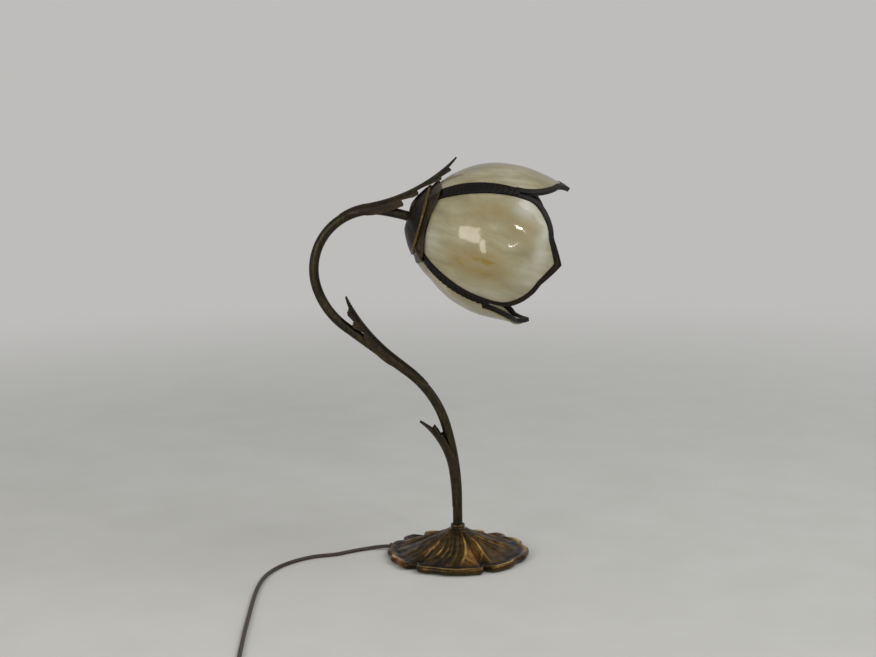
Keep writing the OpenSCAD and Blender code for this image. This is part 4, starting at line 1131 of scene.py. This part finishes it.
for name, turn in BANDS.items():
    piece = band.copy()
    piece.data = band.data.copy()
    piece.name = piece.data.name = "laid_band_" + name
    bpy.context.collection.objects.link(piece)
    move_to(piece, in_shade(turned(band_points, turn)))
    weld(piece, FINE_GAP)
    finish_with(piece, "SOLIDIFY", thickness=BAND_GAUGE * MM, offset=-1, use_even_offset=False)
    in_place(piece, 50)
    stands_for(piece, "lamp", "came", "band_" + name)
bpy.data.objects.remove(band)

# %% [markdown]
# ## The calyx
# A spun bronze cup holds the four frames at the back. Its edge is turned over into a rolled fold,
# and from that a scalloped skirt lies on the petals, with a sepal point on each seam. It is one
# section spun round the axis, and only the skirt's rings are then drawn out to the scallops.

# %% Spin the calyx
CONE = [(5.15, -13.3), (9, -13.4), (13, -13.3), (17, -11.6), (21, -9.5), (25, -7.3), (29, -4.9), (32.6, -2.6)]
FOLD = [(34.6, -1.4), (35.9, -0.8), (36.7, 0.1), (36.9, 0.9), (36.6, 1.7), (36.3, 2.6)]
LINING = [(34.3, 2.9), (34.3, 1.5), (33.9, -0.8), (12.2, -11.9), (5.15, -12.0)]
SKIRT_RINGS, CALYX_STEPS = 9, 240
FIRST_SKIRT = len(CONE) + len(FOLD)
MID_SKIRT, END_SKIRT = FIRST_SKIRT + SKIRT_RINGS, FIRST_SKIRT + 2 * SKIRT_RINGS
calyx, ring, angle = rings("finished_calyx", END_SKIRT + len(LINING), CALYX_STEPS)
fixed = np.array(CONE + FOLD + [(0, 0)] * (2 * SKIRT_RINGS) + LINING)
print("calyx points:", len(ring))

# %% [markdown]
# The skirt runs out over the petals and back under itself. At each seam it reaches furthest, in a
# sepal point that rides over the band, and between two seams it is hollowed out.

# %% Draw out the skirt
SKIRT_S, SEPAL_S, HOLLOW_S = 3.4, 14.5, 8.6
SKIRT_T, SKIRT_CLEAR = 0.9, 1.45
OVER_BAND, OVER_HALF_DEG = 1.7, 9.5
from_seam = np.abs(around(4 * (angle - 45)) / 4) / 45
edge_s = HOLLOW_S + (SEPAL_S - HOLLOW_S) * (1 - np.sin(np.pi / 2 * np.clip(from_seam, 0, 1)) ** 1.1)
on_outer = (ring >= FIRST_SKIRT) & (ring < MID_SKIRT)
on_inner = (ring >= MID_SKIRT) & (ring < END_SKIRT)
share = np.where(on_outer, ring - FIRST_SKIRT + 1, END_SKIRT - ring - 0.5) / SKIRT_RINGS
s = SKIRT_S + (edge_s - SKIRT_S) * np.clip(share, 0, 1)
lift = SKIRT_CLEAR + OVER_BAND * bell(from_seam * 45 / OVER_HALF_DEG) + 0.45 * share ** 3
lift += np.where(on_outer, SKIRT_T * (1 - 0.25 * share ** 4), 0)
skirt = on_petal(0, s * 0, s, lift)
print("skirt reaches in mm:", round(float(edge_s.min()), 1), "to", round(float(edge_s.max()), 1))

# %% [markdown]
# The cup was chased from behind into eight shallow flutes, and it isn't quite even. Its fold is
# painted gold, partly as rubbed brass and partly as a painted highlight along the fold. The skirt is
# rubbed a little lighter towards its edge.

# %% Shape the calyx
FLUTE_DEEP, FLUTES, FLUTE_MIDDLE = 0.9, 8, 5
DENT_UP, DENT_SIZE = 0.25, 11
a = np.radians(angle)
on_skirt = on_outer | on_inner
radius = np.where(on_skirt, skirt[:, 0], fixed[ring, 0])
height = np.where(on_skirt, skirt[:, 2], fixed[ring, 1])
cup = np.column_stack([radius * np.cos(a), radius * np.sin(a), height])
flutes = FLUTE_DEEP * bell((ring - FLUTE_MIDDLE) / 5) * np.abs(np.cos(FLUTES / 2 * a))
cup[:, 2] += np.where(ring < len(CONE), DENT_UP * wave(cup, DENT_SIZE, 2.2) - flutes, 0)
move_to(calyx, in_shade(cup))
weld(calyx)
# The fold's rings are painted gold: partly rubbed brass, partly a painted highlight along the fold
fold_rubbed_and_highlit = np.isin(ring, [len(CONE) + k for k in (1, 2, 3)])
note(calyx, "wear_and_highlight", np.where(fold_rubbed_and_highlit, 0.8, np.where(on_outer, 0.36 + 0.2 * share ** 3, 0.22)))
in_place(calyx, 60)
stands_for(calyx, "lamp", "stem_metal", "calyx_cap")

# %% [markdown]
# ## The collar
# A small turned ring covers the joint between the stem and the pad: a half-round bead over a cove
# and a foot, as a lathe would leave it.

# %% Spin the collar
COLLAR_Z = CROWN_Z + 0.05
BEAD_AT, BEAD_R = (6.0, 2.75), 1.5
bead_turns = [math.radians(degrees) for degrees in range(-70, 91, 20)]
bead = [(BEAD_AT[0] + BEAD_R * math.cos(t), BEAD_AT[1] + BEAD_R * math.sin(t)) for t in bead_turns]
collar_section = [(5.2, 0), (7.1, 0), (7.3, 0.35), (6.6, 0.95)] + bead + [(5.3, 4.4), (5.2, 4.2)]
collar = spun("finished_collar", [(r, z + COLLAR_Z) for r, z in collar_section], 96)
note(collar, "wear_and_highlight", np.where(np.hypot(*places(collar)[:, :2].T) > 7.1 * MM, 0.8, 0.4))
in_place(collar, 35)
stands_for(collar, "lamp", "stem_metal", "stem_collar")

# %% [markdown]
# ## Moulded fittings
# The switch and the plug are injection mouldings, whose edges are never sharp. Each is a copy of
# the CAD piece: its flat faces are joined up first, so that a bevel can run round clean edges.

# %% Soften the mouldings


def softened(node, body, finish, width_mm):
    """A rounded copy of a CAD node, with that width of bevel on its edges."""
    piece = nodes[node].copy()
    piece.data = nodes[node].data.copy()
    piece.parent = None
    piece.matrix_world = nodes[node].matrix_world
    piece.name = piece.data.name = "soft_" + node
    bpy.context.collection.objects.link(piece)
    piece.hide_render = piece.hide_viewport = False
    weld(piece)
    edit(piece)
    bpy.ops.mesh.dissolve_limited(angle_limit=math.radians(1))
    bpy.ops.object.mode_set(mode="OBJECT")
    finish_with(piece, "BEVEL", width=width_mm * MM, segments=3, limit_method="ANGLE", angle_limit=math.radians(40),
                use_clamp_overlap=True)
    in_place(piece, 35)
    stands_for(piece, body, finish, node)
    return piece


switch_base = softened("switch_base", "lamp", "switch_plastic", 0.5)
switch_cover = softened("switch_cover", "lamp", "switch_plastic", 0.6)
switch_rocker = softened("switch_rocker", "rocker", "rocker_plastic", 0.4)
plug_body = softened("plug_body", "lamp", "dark_plastic", 0.7)

# %% [markdown]
# ## The flex's length
# The flex is a free cord, and its real length is printed.

print("flex in all, in mm:", round(line_length(to_switch) + line_length(to_plug)))

# %% [markdown]
# ## Colours and nodes
# Colours are read off as sRGB hex values, and one function turns them to the linear
# numbers that the shader wants. One more adds a shader node with its settings and its links, and
# hands back the output that the next node needs. A pattern's scale is worked out from the size of
# the real thing, because the noise counts its features per metre.

# %% Helpers for materials


def linear(hex_colour):
    parts = [int(hex_colour[i:i + 2], 16) / 255 for i in (1, 3, 5)]
    return [c / 12.92 if c <= 0.04045 else ((c + 0.055) / 1.055) ** 2.4 for c in parts] + [1.0]


def per_metre(size_mm):
    return 1 / (size_mm * MM)


def add_node(tree, kind, inputs, output=0, stops=(), **settings):
    """Adds a shader node and gives back one of its outputs.

    An input is called by its name or number, and takes a value or another node's output. The
    stops of a ramp are pairs of a place and a hex colour.
    """
    node = tree.nodes.new("ShaderNode" + kind)
    for key, value in settings.items():
        setattr(node, key, value)
    for key, value in inputs.items():
        if isinstance(value, bpy.types.NodeSocket):
            tree.links.new(value, node.inputs[key])
        else:
            node.inputs[key].default_value = value
    if stops:
        while len(node.color_ramp.elements) < len(stops):
            node.color_ramp.elements.new(0.5)
        for element, (place, colour) in zip(node.color_ramp.elements, stops):
            element.position = place
            element.color = linear(colour)
    return node.outputs[output] if node.outputs else node


def empty_material(name):
    material = bpy.data.materials.new(name)
    material.use_nodes = True
    material.node_tree.nodes.clear()
    return material, material.node_tree


def put_on(material, *pieces):
    for piece in pieces:
        piece = bpy.data.objects[piece] if isinstance(piece, str) else piece
        piece.data.materials.clear()
        piece.data.materials.append(material)
    print(material.name, "on", len(pieces), "pieces, nodes:", len(material.node_tree.nodes))


print("the middle grey #808080 is", round(linear("#808080")[0], 3), "in linear numbers")

# %% [markdown]
# ## Patinated bronze
# The stem, leaves, collar and calyx are brass or bronze that was darkened with a chemical patina
# and waxed. It isn't one brown: it drifts from olive to umber over a few centimetres, with finer
# cloudy spots, and edges that are rubbed show the metal. Two noises and the number for wear are
# added up, and one ramp reads the sum from crease to bare metal. On the pad's rim, the calyx's fold
# and the lead's face that number also carries a painted highlight. The more it is rubbed or
# highlit, the glossier it is. Two bumps stand for the fine skin of the patina and the sand of the mould.

# %% The patina
DRIFT_SHARE, SPOT_SHARE = 0.55, 0.75
# Added up, both noises and a middling number for wear and painted highlight should come to about the middle of a
# ramp
FULL_SHARE_SHIFT, NO_SHARE_SHIFT = -0.65, -0.23
SKIN_MM, SAND_MM = 1.1, 4.5
SAND_DEEPER = 2.5


def patina(name, stops, drift_mm, spot_mm, wear_and_highlight_share=1.0, streak=(1, 1, 1), rough=(0.34, 0.5), metallic=0.6,
           bump_mm=0.05, shine=0.5, copper=None):
    material, tree = empty_material(name)
    where = add_node(tree, "TexCoord", {}, "Object")
    drawn = add_node(tree, "Mapping", {"Vector": where, "Scale": streak})
    drift = add_node(tree, "TexNoise", {
        "Vector": where, "Scale": per_metre(drift_mm), "Detail": 3, "Roughness": 0.6}, "Fac")
    spots = add_node(tree, "TexNoise", {
        "Vector": drawn, "Scale": per_metre(spot_mm), "Detail": 6, "Roughness": 0.68}, "Fac")
    # The number for wear, which on some pieces also holds a painted highlight
    wear_and_highlight = add_node(tree, "Attribute", {}, "Fac", attribute_name="wear_and_highlight")
    shift = NO_SHARE_SHIFT + (FULL_SHARE_SHIFT - NO_SHARE_SHIFT) * wear_and_highlight_share
    tone = add_node(tree, "Math", {0: drift, 1: DRIFT_SHARE, 2: shift}, operation="MULTIPLY_ADD")
    tone = add_node(tree, "Math", {0: spots, 1: SPOT_SHARE, 2: tone}, operation="MULTIPLY_ADD")
    tone = add_node(tree, "Math", {0: wear_and_highlight, 1: wear_and_highlight_share, 2: tone}, operation="MULTIPLY_ADD")
    colour = add_node(tree, "ValToRGB", {"Fac": tone}, "Color", stops)
    if copper:
        warm = add_node(tree, "Attribute", {}, "Fac", attribute_name="warm")
        share = add_node(tree, "Math", {0: warm, 1: 0.6}, operation="MULTIPLY")
        colour = add_node(tree, "Mix", {0: share, 6: colour, 7: linear(copper)}, 2, data_type="RGBA")
    gloss = add_node(tree, "MapRange", {
        "Value": tone, "From Min": 0.2, "From Max": 0.9, "To Min": rough[1], "To Max": rough[0]})
    skin = add_node(tree, "TexNoise", {
        "Vector": where, "Scale": per_metre(SKIN_MM), "Detail": 3, "Roughness": 0.6}, "Fac")
    skin = add_node(tree, "Bump", {"Height": skin, "Distance": bump_mm * MM, "Strength": 0.6})
    sand = add_node(tree, "TexNoise", {
        "Vector": where, "Scale": per_metre(SAND_MM), "Detail": 3, "Roughness": 0.6}, "Fac")
    cast = add_node(tree, "Bump", {
        "Height": sand, "Distance": SAND_DEEPER * bump_mm * MM, "Strength": 0.5, "Normal": skin})
    shader = add_node(tree, "BsdfPrincipled", {
        "Base Color": colour, "Metallic": metallic, "Roughness": gloss, "Specular IOR Level": shine,
        "Normal": cast})
    add_node(tree, "OutputMaterial", {"Surface": shader})
    return material


print("patina's skin and sand in mm:", SKIN_MM, SAND_MM)

# %% [markdown]
# The stem is satin olive-brown, with darker streaks that run up the tube. Spun and turned parts
# have the same patina, rubbed to brass on their folds, and on the calyx's fold that brass is also a
# painted highlight. The leaves are browner and drier, lighter on their ribs and torn edges.

# %% Patina of the stem, the spun parts and the leaves
UP_THE_TUBE = (2.2, 2.2, 0.3)
put_on(patina("waxed_olive_bronze", [
    (0.2, "#120e08"), (0.36, "#201b0d"), (0.5, "#352e16"), (0.68, "#584c22"),
], 26, 5, wear_and_highlight_share=0.0, streak=UP_THE_TUBE, rough=(0.3, 0.42)), "stem_tube")
put_on(patina("rubbed_and_highlit_spun_bronze", [
    (0.18, "#160f06"), (0.38, "#2c200b"), (0.56, "#463614"), (0.8, "#6f5928"), (1.0, "#a0854a"),
], 24, 4, wear_and_highlight_share=0.8, rough=(0.26, 0.42)), collar, calyx)
put_on(patina("brown_leaf_bronze", [
    (0.15, "#15100a"), (0.36, "#272012"), (0.54, "#3b301a"), (0.8, "#5d4c2a"),
], 20, 4, wear_and_highlight_share=0.7, rough=(0.32, 0.48)), *("finished_" + name for name in LEAVES))

# %% [markdown]
# The cast pad shows the widest range: almost black in its ditches, brown on the leaf and gold where
# it is polished, and on the front of its rim the gold is also a painted highlight. A second number
# marks where the patina turned to copper red.

# %% Patina of the pad
put_on(patina("polished_and_highlit_cast_bronze", [
    (0.05, "#0f0b06"), (0.26, "#261c0c"), (0.44, "#453314"), (0.6, "#6b4e1f"), (0.8, "#a37b38"),
    (1.0, "#dcb468"),
], 30, 7, rough=(0.13, 0.42), metallic=0.75, bump_mm=0.03, copper="#9a5a22"), lily_pad)

# %% [markdown]
# ## Blackened lead
# Lead came is soft and grey, and here it carries a black patina with a brown cast. Its flat face is
# rubbed a little lighter than its edges, and that lighter middle is also a painted sheen. Solder and
# dressing leave it lumpy. The patina is dull, so most of the metal's shine is gone.

# %% Lead material
put_on(patina("blackened_lead_came", [
    (0.15, "#070502"), (0.36, "#0e0a05"), (0.55, "#19130a"), (0.8, "#332818"), (1.0, "#564630"),
], 14, 3, wear_and_highlight_share=0.8, rough=(0.38, 0.55), metallic=0.1, bump_mm=0.1, shine=0.24),
    *("finished_came_" + name for name in PETALS), *("laid_band_" + name for name in BANDS))

# %% [markdown]
# ## Slag glass
# Opalescent slag glass is milky glass with streaks of colour stirred in before it was rolled. It
# lets little light through, so unlit it looks like a glossy glaze: creamy green-grey with amber and
# bluish white in it. The streaks follow the petal, so they are drawn on its own map in real
# millimetres, and bent by a slow noise.

# %% Streaks in the glass
BEND_MM, BEND_SHARE = 40, 0.02
CLOUD_MM, CLOUD_DRAWN = 26, (1, 0.45, 1)
WISP_MM, WISP_DRAWN = 7, (1, 0.16, 1)
slag, tree = empty_material("opalescent_slag_glass")
chart = add_node(tree, "UVMap", {}, uv_map="across_and_along")
slow = add_node(tree, "TexNoise", {"Vector": chart, "Scale": per_metre(BEND_MM), "Detail": 2}, "Color")
bent = add_node(tree, "Mix", {0: BEND_SHARE, 4: chart, 5: slow}, 1, data_type="VECTOR")
cloud_map = add_node(tree, "Mapping", {"Vector": bent, "Scale": CLOUD_DRAWN})
cloud = add_node(tree, "TexNoise", {
    "Vector": cloud_map, "Scale": per_metre(CLOUD_MM), "Detail": 4, "Roughness": 0.5}, "Fac")
wisp_map = add_node(tree, "Mapping", {"Vector": bent, "Scale": WISP_DRAWN})
wisps = add_node(tree, "TexNoise", {
    "Vector": wisp_map, "Scale": per_metre(WISP_MM), "Detail": 5, "Roughness": 0.6}, "Fac")
print("clouds and wisps in mm:", CLOUD_MM, WISP_MM)

# %% [markdown]
# The milky body comes from clouds and wisps together. The amber is where its number on the points
# meets the wisps, raised to a power so that it stays thready, and the bluish white follows clouds.
# On the front petal, towards its tip, that bluish white is partly painted light.

# %% Colours of the glass
AMBER, BLUISH_WHITE = "#8f7634", "#cdd0c8"
wisp_share = add_node(tree, "Math", {0: wisps, 1: 0.4}, operation="MULTIPLY")
body_tone = add_node(tree, "Math", {0: cloud, 1: 0.6, 2: wisp_share}, operation="MULTIPLY_ADD")
body = add_node(tree, "ValToRGB", {"Fac": body_tone}, "Color", [
    (0.36, "#8a8264"), (0.45, "#989071"), (0.53, "#a29b7d"), (0.6, "#aea88d"), (0.7, "#c0bda9")])
amber_spots = add_node(tree, "Attribute", {}, "Fac", attribute_name="amber")
threads = add_node(tree, "Math", {0: wisps, 1: 1.75}, operation="MULTIPLY")
threads = add_node(tree, "Math", {0: threads, 1: 3}, operation="POWER")
amber = add_node(tree, "Math", {0: amber_spots, 1: threads}, operation="MULTIPLY")
with_amber = add_node(tree, "Mix", {0: amber, 6: body, 7: linear(AMBER)}, 2, data_type="RGBA")
# Bluish white, which on the front petal's tip side is partly painted light
bluish_and_lit_spots = add_node(tree, "Attribute", {}, "Fac", attribute_name="bluish_and_lit")
veil = add_node(tree, "Math", {0: cloud, 1: 1.5}, operation="MULTIPLY")
bluish_and_lit = add_node(tree, "Math", {0: bluish_and_lit_spots, 1: veil}, operation="MULTIPLY")
colour = add_node(tree, "Mix", {0: bluish_and_lit, 6: with_amber, 7: linear(BLUISH_WHITE)}, 2, data_type="RGBA")
print("amber:", AMBER, "bluish white:", BLUISH_WHITE, "nodes so far:", len(tree.nodes))

# %% [markdown]
# The rolled skin is glossy, with a faint hammered texture. A little light is scattered inside, a few
# millimetres deep, which takes the hardness off the shaded side.

# %% Body and skin of the glass
SCATTER = (0.004, 0.003, 0.002)
hammer = add_node(tree, "TexNoise", {
    "Vector": chart, "Scale": per_metre(5), "Detail": 2, "Roughness": 0.6}, "Fac")
skin = add_node(tree, "Bump", {"Height": hammer, "Distance": 0.06 * MM, "Strength": 0.5})
shader = add_node(tree, "BsdfPrincipled", {
    "Base Color": colour, "IOR": 1.52, "Roughness": 0.09, "Subsurface Weight": 0.12,
    "Subsurface Radius": SCATTER, "Subsurface Scale": 1.0, "Normal": skin})
add_node(tree, "OutputMaterial", {"Surface": shader})
put_on(slag, *glass_pieces)

# %% [markdown]
# ## Fittings
# The small parts are plain, so each gets what its kind of surface has: felt its fibres, plated steel
# a sheen, thread its turns, brass a tarnish, mouldings a fine spark texture. One function
# has the colour drift between two tones, and the roughness and a fine bump vary with it.

# %% A plain surface
GLOSS_SPOT_MM = 2.5
# Radians that the wave node runs in one unit at a scale of 1
WAVE_RADIANS = 20


def surface(name, colour, other, rough, metallic=0.0, spot_mm=4.0, bump_mm=0.02, bump_size_mm=0.8,
            thread_mm=None):
    material, tree = empty_material(name)
    where = add_node(tree, "TexCoord", {}, "Object")
    spots = add_node(tree, "TexNoise", {
        "Vector": where, "Scale": per_metre(spot_mm), "Detail": 4, "Roughness": 0.6}, "Fac")
    tone = add_node(tree, "ValToRGB", {"Fac": spots}, "Color", [(0.35, colour), (0.65, other)])
    smears = add_node(tree, "TexNoise", {
        "Vector": where, "Scale": per_metre(GLOSS_SPOT_MM), "Detail": 3, "Roughness": 0.6}, "Fac")
    gloss = add_node(tree, "MapRange", {
        "Value": smears, "From Min": 0.3, "From Max": 0.7, "To Min": max(0.02, rough - 0.05),
        "To Max": rough + 0.07})
    if thread_mm:
        # The shade's axis is laid along x, and the wave steps along it
        along = add_node(tree, "Mapping", {
            "Vector": where, "Rotation": (0, -math.radians(rim_heading), 0)})
        turns = add_node(tree, "TexWave", {
            "Vector": along, "Scale": per_metre(thread_mm) * 2 * math.pi / WAVE_RADIANS},
            "Fac", wave_profile="SIN", bands_direction="X")
        normal = add_node(tree, "Bump", {"Height": turns, "Distance": 0.5 * MM, "Strength": 0.7})
    else:
        fine = add_node(tree, "TexNoise", {
            "Vector": where, "Scale": per_metre(bump_size_mm), "Detail": 3, "Roughness": 0.6}, "Fac")
        normal = add_node(tree, "Bump", {"Height": fine, "Distance": bump_mm * MM, "Strength": 0.6})
    shader = add_node(tree, "BsdfPrincipled", {
        "Base Color": tone, "Metallic": metallic, "Roughness": gloss, "Normal": normal})
    add_node(tree, "OutputMaterial", {"Surface": shader})
    return material


print("gloss varies over mm:", GLOSS_SPOT_MM)

# %% [markdown]
# Steel fittings are zinc plated, contacts are rolled brass and the thread of the bulb is nickel
# plated. The thread's turns are drawn twice as far apart as the real 3 mm, or they wouldn't show.

# %% Metal fittings
THREAD_DRAWN_MM = 6
put_on(surface("zinc_plated_steel", "#9c9b97", "#bdbbb4", 0.3, 1.0, spot_mm=9),
       "hub_bush", "hub_washer", "hub_nut", "calyx_nut", "gallery_nut", "switch_screws", "plug_pins")
put_on(surface("pressed_nickel_thread", "#a5a39c", "#c2c0b8", 0.24, 1.0, thread_mm=THREAD_DRAWN_MM),
       "bulb_cap")
put_on(surface("pressed_brass_thread", "#a58242", "#c09b55", 0.28, 1.0, thread_mm=THREAD_DRAWN_MM),
       "holder_thread")
put_on(surface("rolled_brass", "#8f7138", "#c39d55", 0.32, 1.0, spot_mm=12),
       "shade_gallery", "holder_contact", "switch_contacts")

# %% [markdown]
# The rest is felt, rubber, moulded plastic and the bulb's etched glass, which is matt and almost
# white. The rocker is polished by thumbs, so it is glossier than the switch it sits in.

# %% Felt, rubber, plastics and the bulb
put_on(surface("green_wool_felt", "#2f3b2a", "#435239", 0.92, spot_mm=1.4, bump_mm=0.25,
               bump_size_mm=0.5), "base_felt")
put_on(surface("cream_phenolic", "#ddd4be", "#ebe4d4", 0.34, spot_mm=6), "holder_body")
put_on(surface("black_rubber", "#171513", "#25221f", 0.6, bump_mm=0.05), "cord_grommet", "plug_relief")
put_on(surface("black_glass_insulator", "#101012", "#1c1c20", 0.15), "bulb_insulator", "plug_sleeves")
put_on(surface("etched_bulb_glass", "#e6e3d8", "#f2f0e8", 0.36, spot_mm=14), "bulb_glass")
put_on(surface("brown_urea_moulding", "#2f241d", "#3b2e26", 0.4, bump_mm=0.03, bump_size_mm=0.4),
       switch_base, switch_cover, plug_body)
put_on(surface("polished_brown_moulding", "#3b2c22", "#463528", 0.2), switch_rocker)
put_on(surface("brown_lead_sleeve", "#2a1f19", "#43342a", 0.45), "stem_lead", "under_lead")

# %% [markdown]
# The flex is covered in soft brown PVC. The sheath is dull, with a faint grain that runs along the
# cord, so it is drawn on the map that the sweep left.

# %% Flex material
FLEX_GRAIN_MM, FLEX_DRAWN = 2, (0.3, 0.012, 1)
flex_pvc, tree = empty_material("brown_flexible_pvc")
chart = add_node(tree, "UVMap", {}, uv_map="along_cord")
drawn = add_node(tree, "Mapping", {"Vector": chart, "Scale": FLEX_DRAWN})
grain = add_node(tree, "TexNoise", {
    "Vector": drawn, "Scale": per_metre(FLEX_GRAIN_MM), "Detail": 4, "Roughness": 0.6}, "Fac")
colour = add_node(tree, "ValToRGB", {"Fac": grain}, "Color", [
    (0.3, "#2a1f19"), (0.5, "#382b23"), (0.7, "#4b3b30")])
bump = add_node(tree, "Bump", {"Height": grain, "Distance": 0.04 * MM, "Strength": 0.6})
shader = add_node(tree, "BsdfPrincipled", {"Base Color": colour, "Roughness": 0.42, "Normal": bump})
add_node(tree, "OutputMaterial", {"Surface": shader})
put_on(flex_pvc, flex_run, flex_coil)

# %% [markdown]
# ## Light and background
# The lamp stands in soft light from all sides, so the world gives most of it. The world could be
# lit to white, but then pale glass would lose its colour, so the camera sees a pale grey of its own
# and everything else gets the soft light.

# %% World
BACKGROUND, SOFT_LIGHT, SOFT_STRENGTH = "#bebdbb", "#f1f2f4", 0.43
world = bpy.data.worlds.new("soft_surround")
bpy.context.scene.world = world
world.use_nodes = True
sky = world.node_tree
sky.nodes.clear()
seen = add_node(sky, "Background", {"Color": linear(BACKGROUND), "Strength": 1.0})
soft = add_node(sky, "Background", {"Color": linear(SOFT_LIGHT), "Strength": SOFT_STRENGTH})
to_camera = add_node(sky, "LightPath", {}, "Is Camera Ray")
both = add_node(sky, "MixShader", {0: to_camera, 1: soft, 2: seen})
add_node(sky, "OutputWorld", {"Surface": both})
print("background:", BACKGROUND, "soft light:", SOFT_STRENGTH)

# %% [markdown]
# A broad panel on the right brightens the front petal's right half and lets the shadow fall to the
# left. Four smaller lamps are there for their reflections in that petal: two dull panes and two
# bright spots. Each is turned with its face to the tulip.

# %% Lamps
TULIP = Vector((0.03, 0.0, 0.34))


def area_light(name, place, size, watts, colour):
    data = bpy.data.lights.new(name, "AREA")
    data.shape = "RECTANGLE"
    data.size, data.size_y = size
    data.energy = watts
    data.color = linear(colour)[:3]
    light = bpy.data.objects.new(name, data)
    light.location = place
    light.rotation_euler = (TULIP - Vector(place)).to_track_quat("-Z", "Y").to_euler()
    bpy.context.collection.objects.link(light)
    print(name, "watts:", watts)


area_light("broad_panel_right", (1.9, -0.5, 2.2), (2.0, 2.0), 27, "#ffffff")
area_light("upper_pane", (-1.08, -1.3, 0.8), (0.7, 0.66), 7.5, "#fff6e8")
area_light("lower_pane", (-0.69, -1.62, 0.28), (0.26, 0.6), 2.9, "#fff6e8")
area_light("bright_lamp", (0.65, -1.48, 1.12), (0.17, 0.14), 2.6, "#fffdf8")
area_light("small_lamp", (0.31, -1.75, 0.5), (0.15, 0.1), 0.9, "#fffdf8")

# %% [markdown]
# ## The floor
# The floor is one flat sheet of matt paper that takes the shadow. Away from the lamp it thins out
# until only the background colour is left, so that no horizon shows from any side.

# %% Floor
FLOOR_WIDE, FADE_FROM, FADE_TO = 12.0, 0.55, 1.9
unclutter()
bpy.ops.mesh.primitive_plane_add(size=FLOOR_WIDE)
floor = in_place(named("pale_floor"))
paper = surface("pale_matt_paper", "#d1d1cc", "#d5d5d1", 0.85, spot_mm=90)
tree = paper.node_tree
paper_out = tree.nodes["Material Output"].inputs["Surface"]
matt = paper_out.links[0].from_socket
where = add_node(tree, "TexCoord", {}, "Object")
away = add_node(tree, "VectorMath", {0: where}, "Value", operation="LENGTH")
fade = add_node(tree, "MapRange", {"Value": away, "From Min": FADE_FROM, "From Max": FADE_TO},
                interpolation_type="SMOOTHSTEP")
clear = add_node(tree, "BsdfTransparent", {})
thinned = add_node(tree, "MixShader", {0: fade, 1: matt, 2: clear})
tree.links.new(thinned, paper_out)
put_on(paper, floor)
bpy.context.scene.view_settings.view_transform = "Standard"
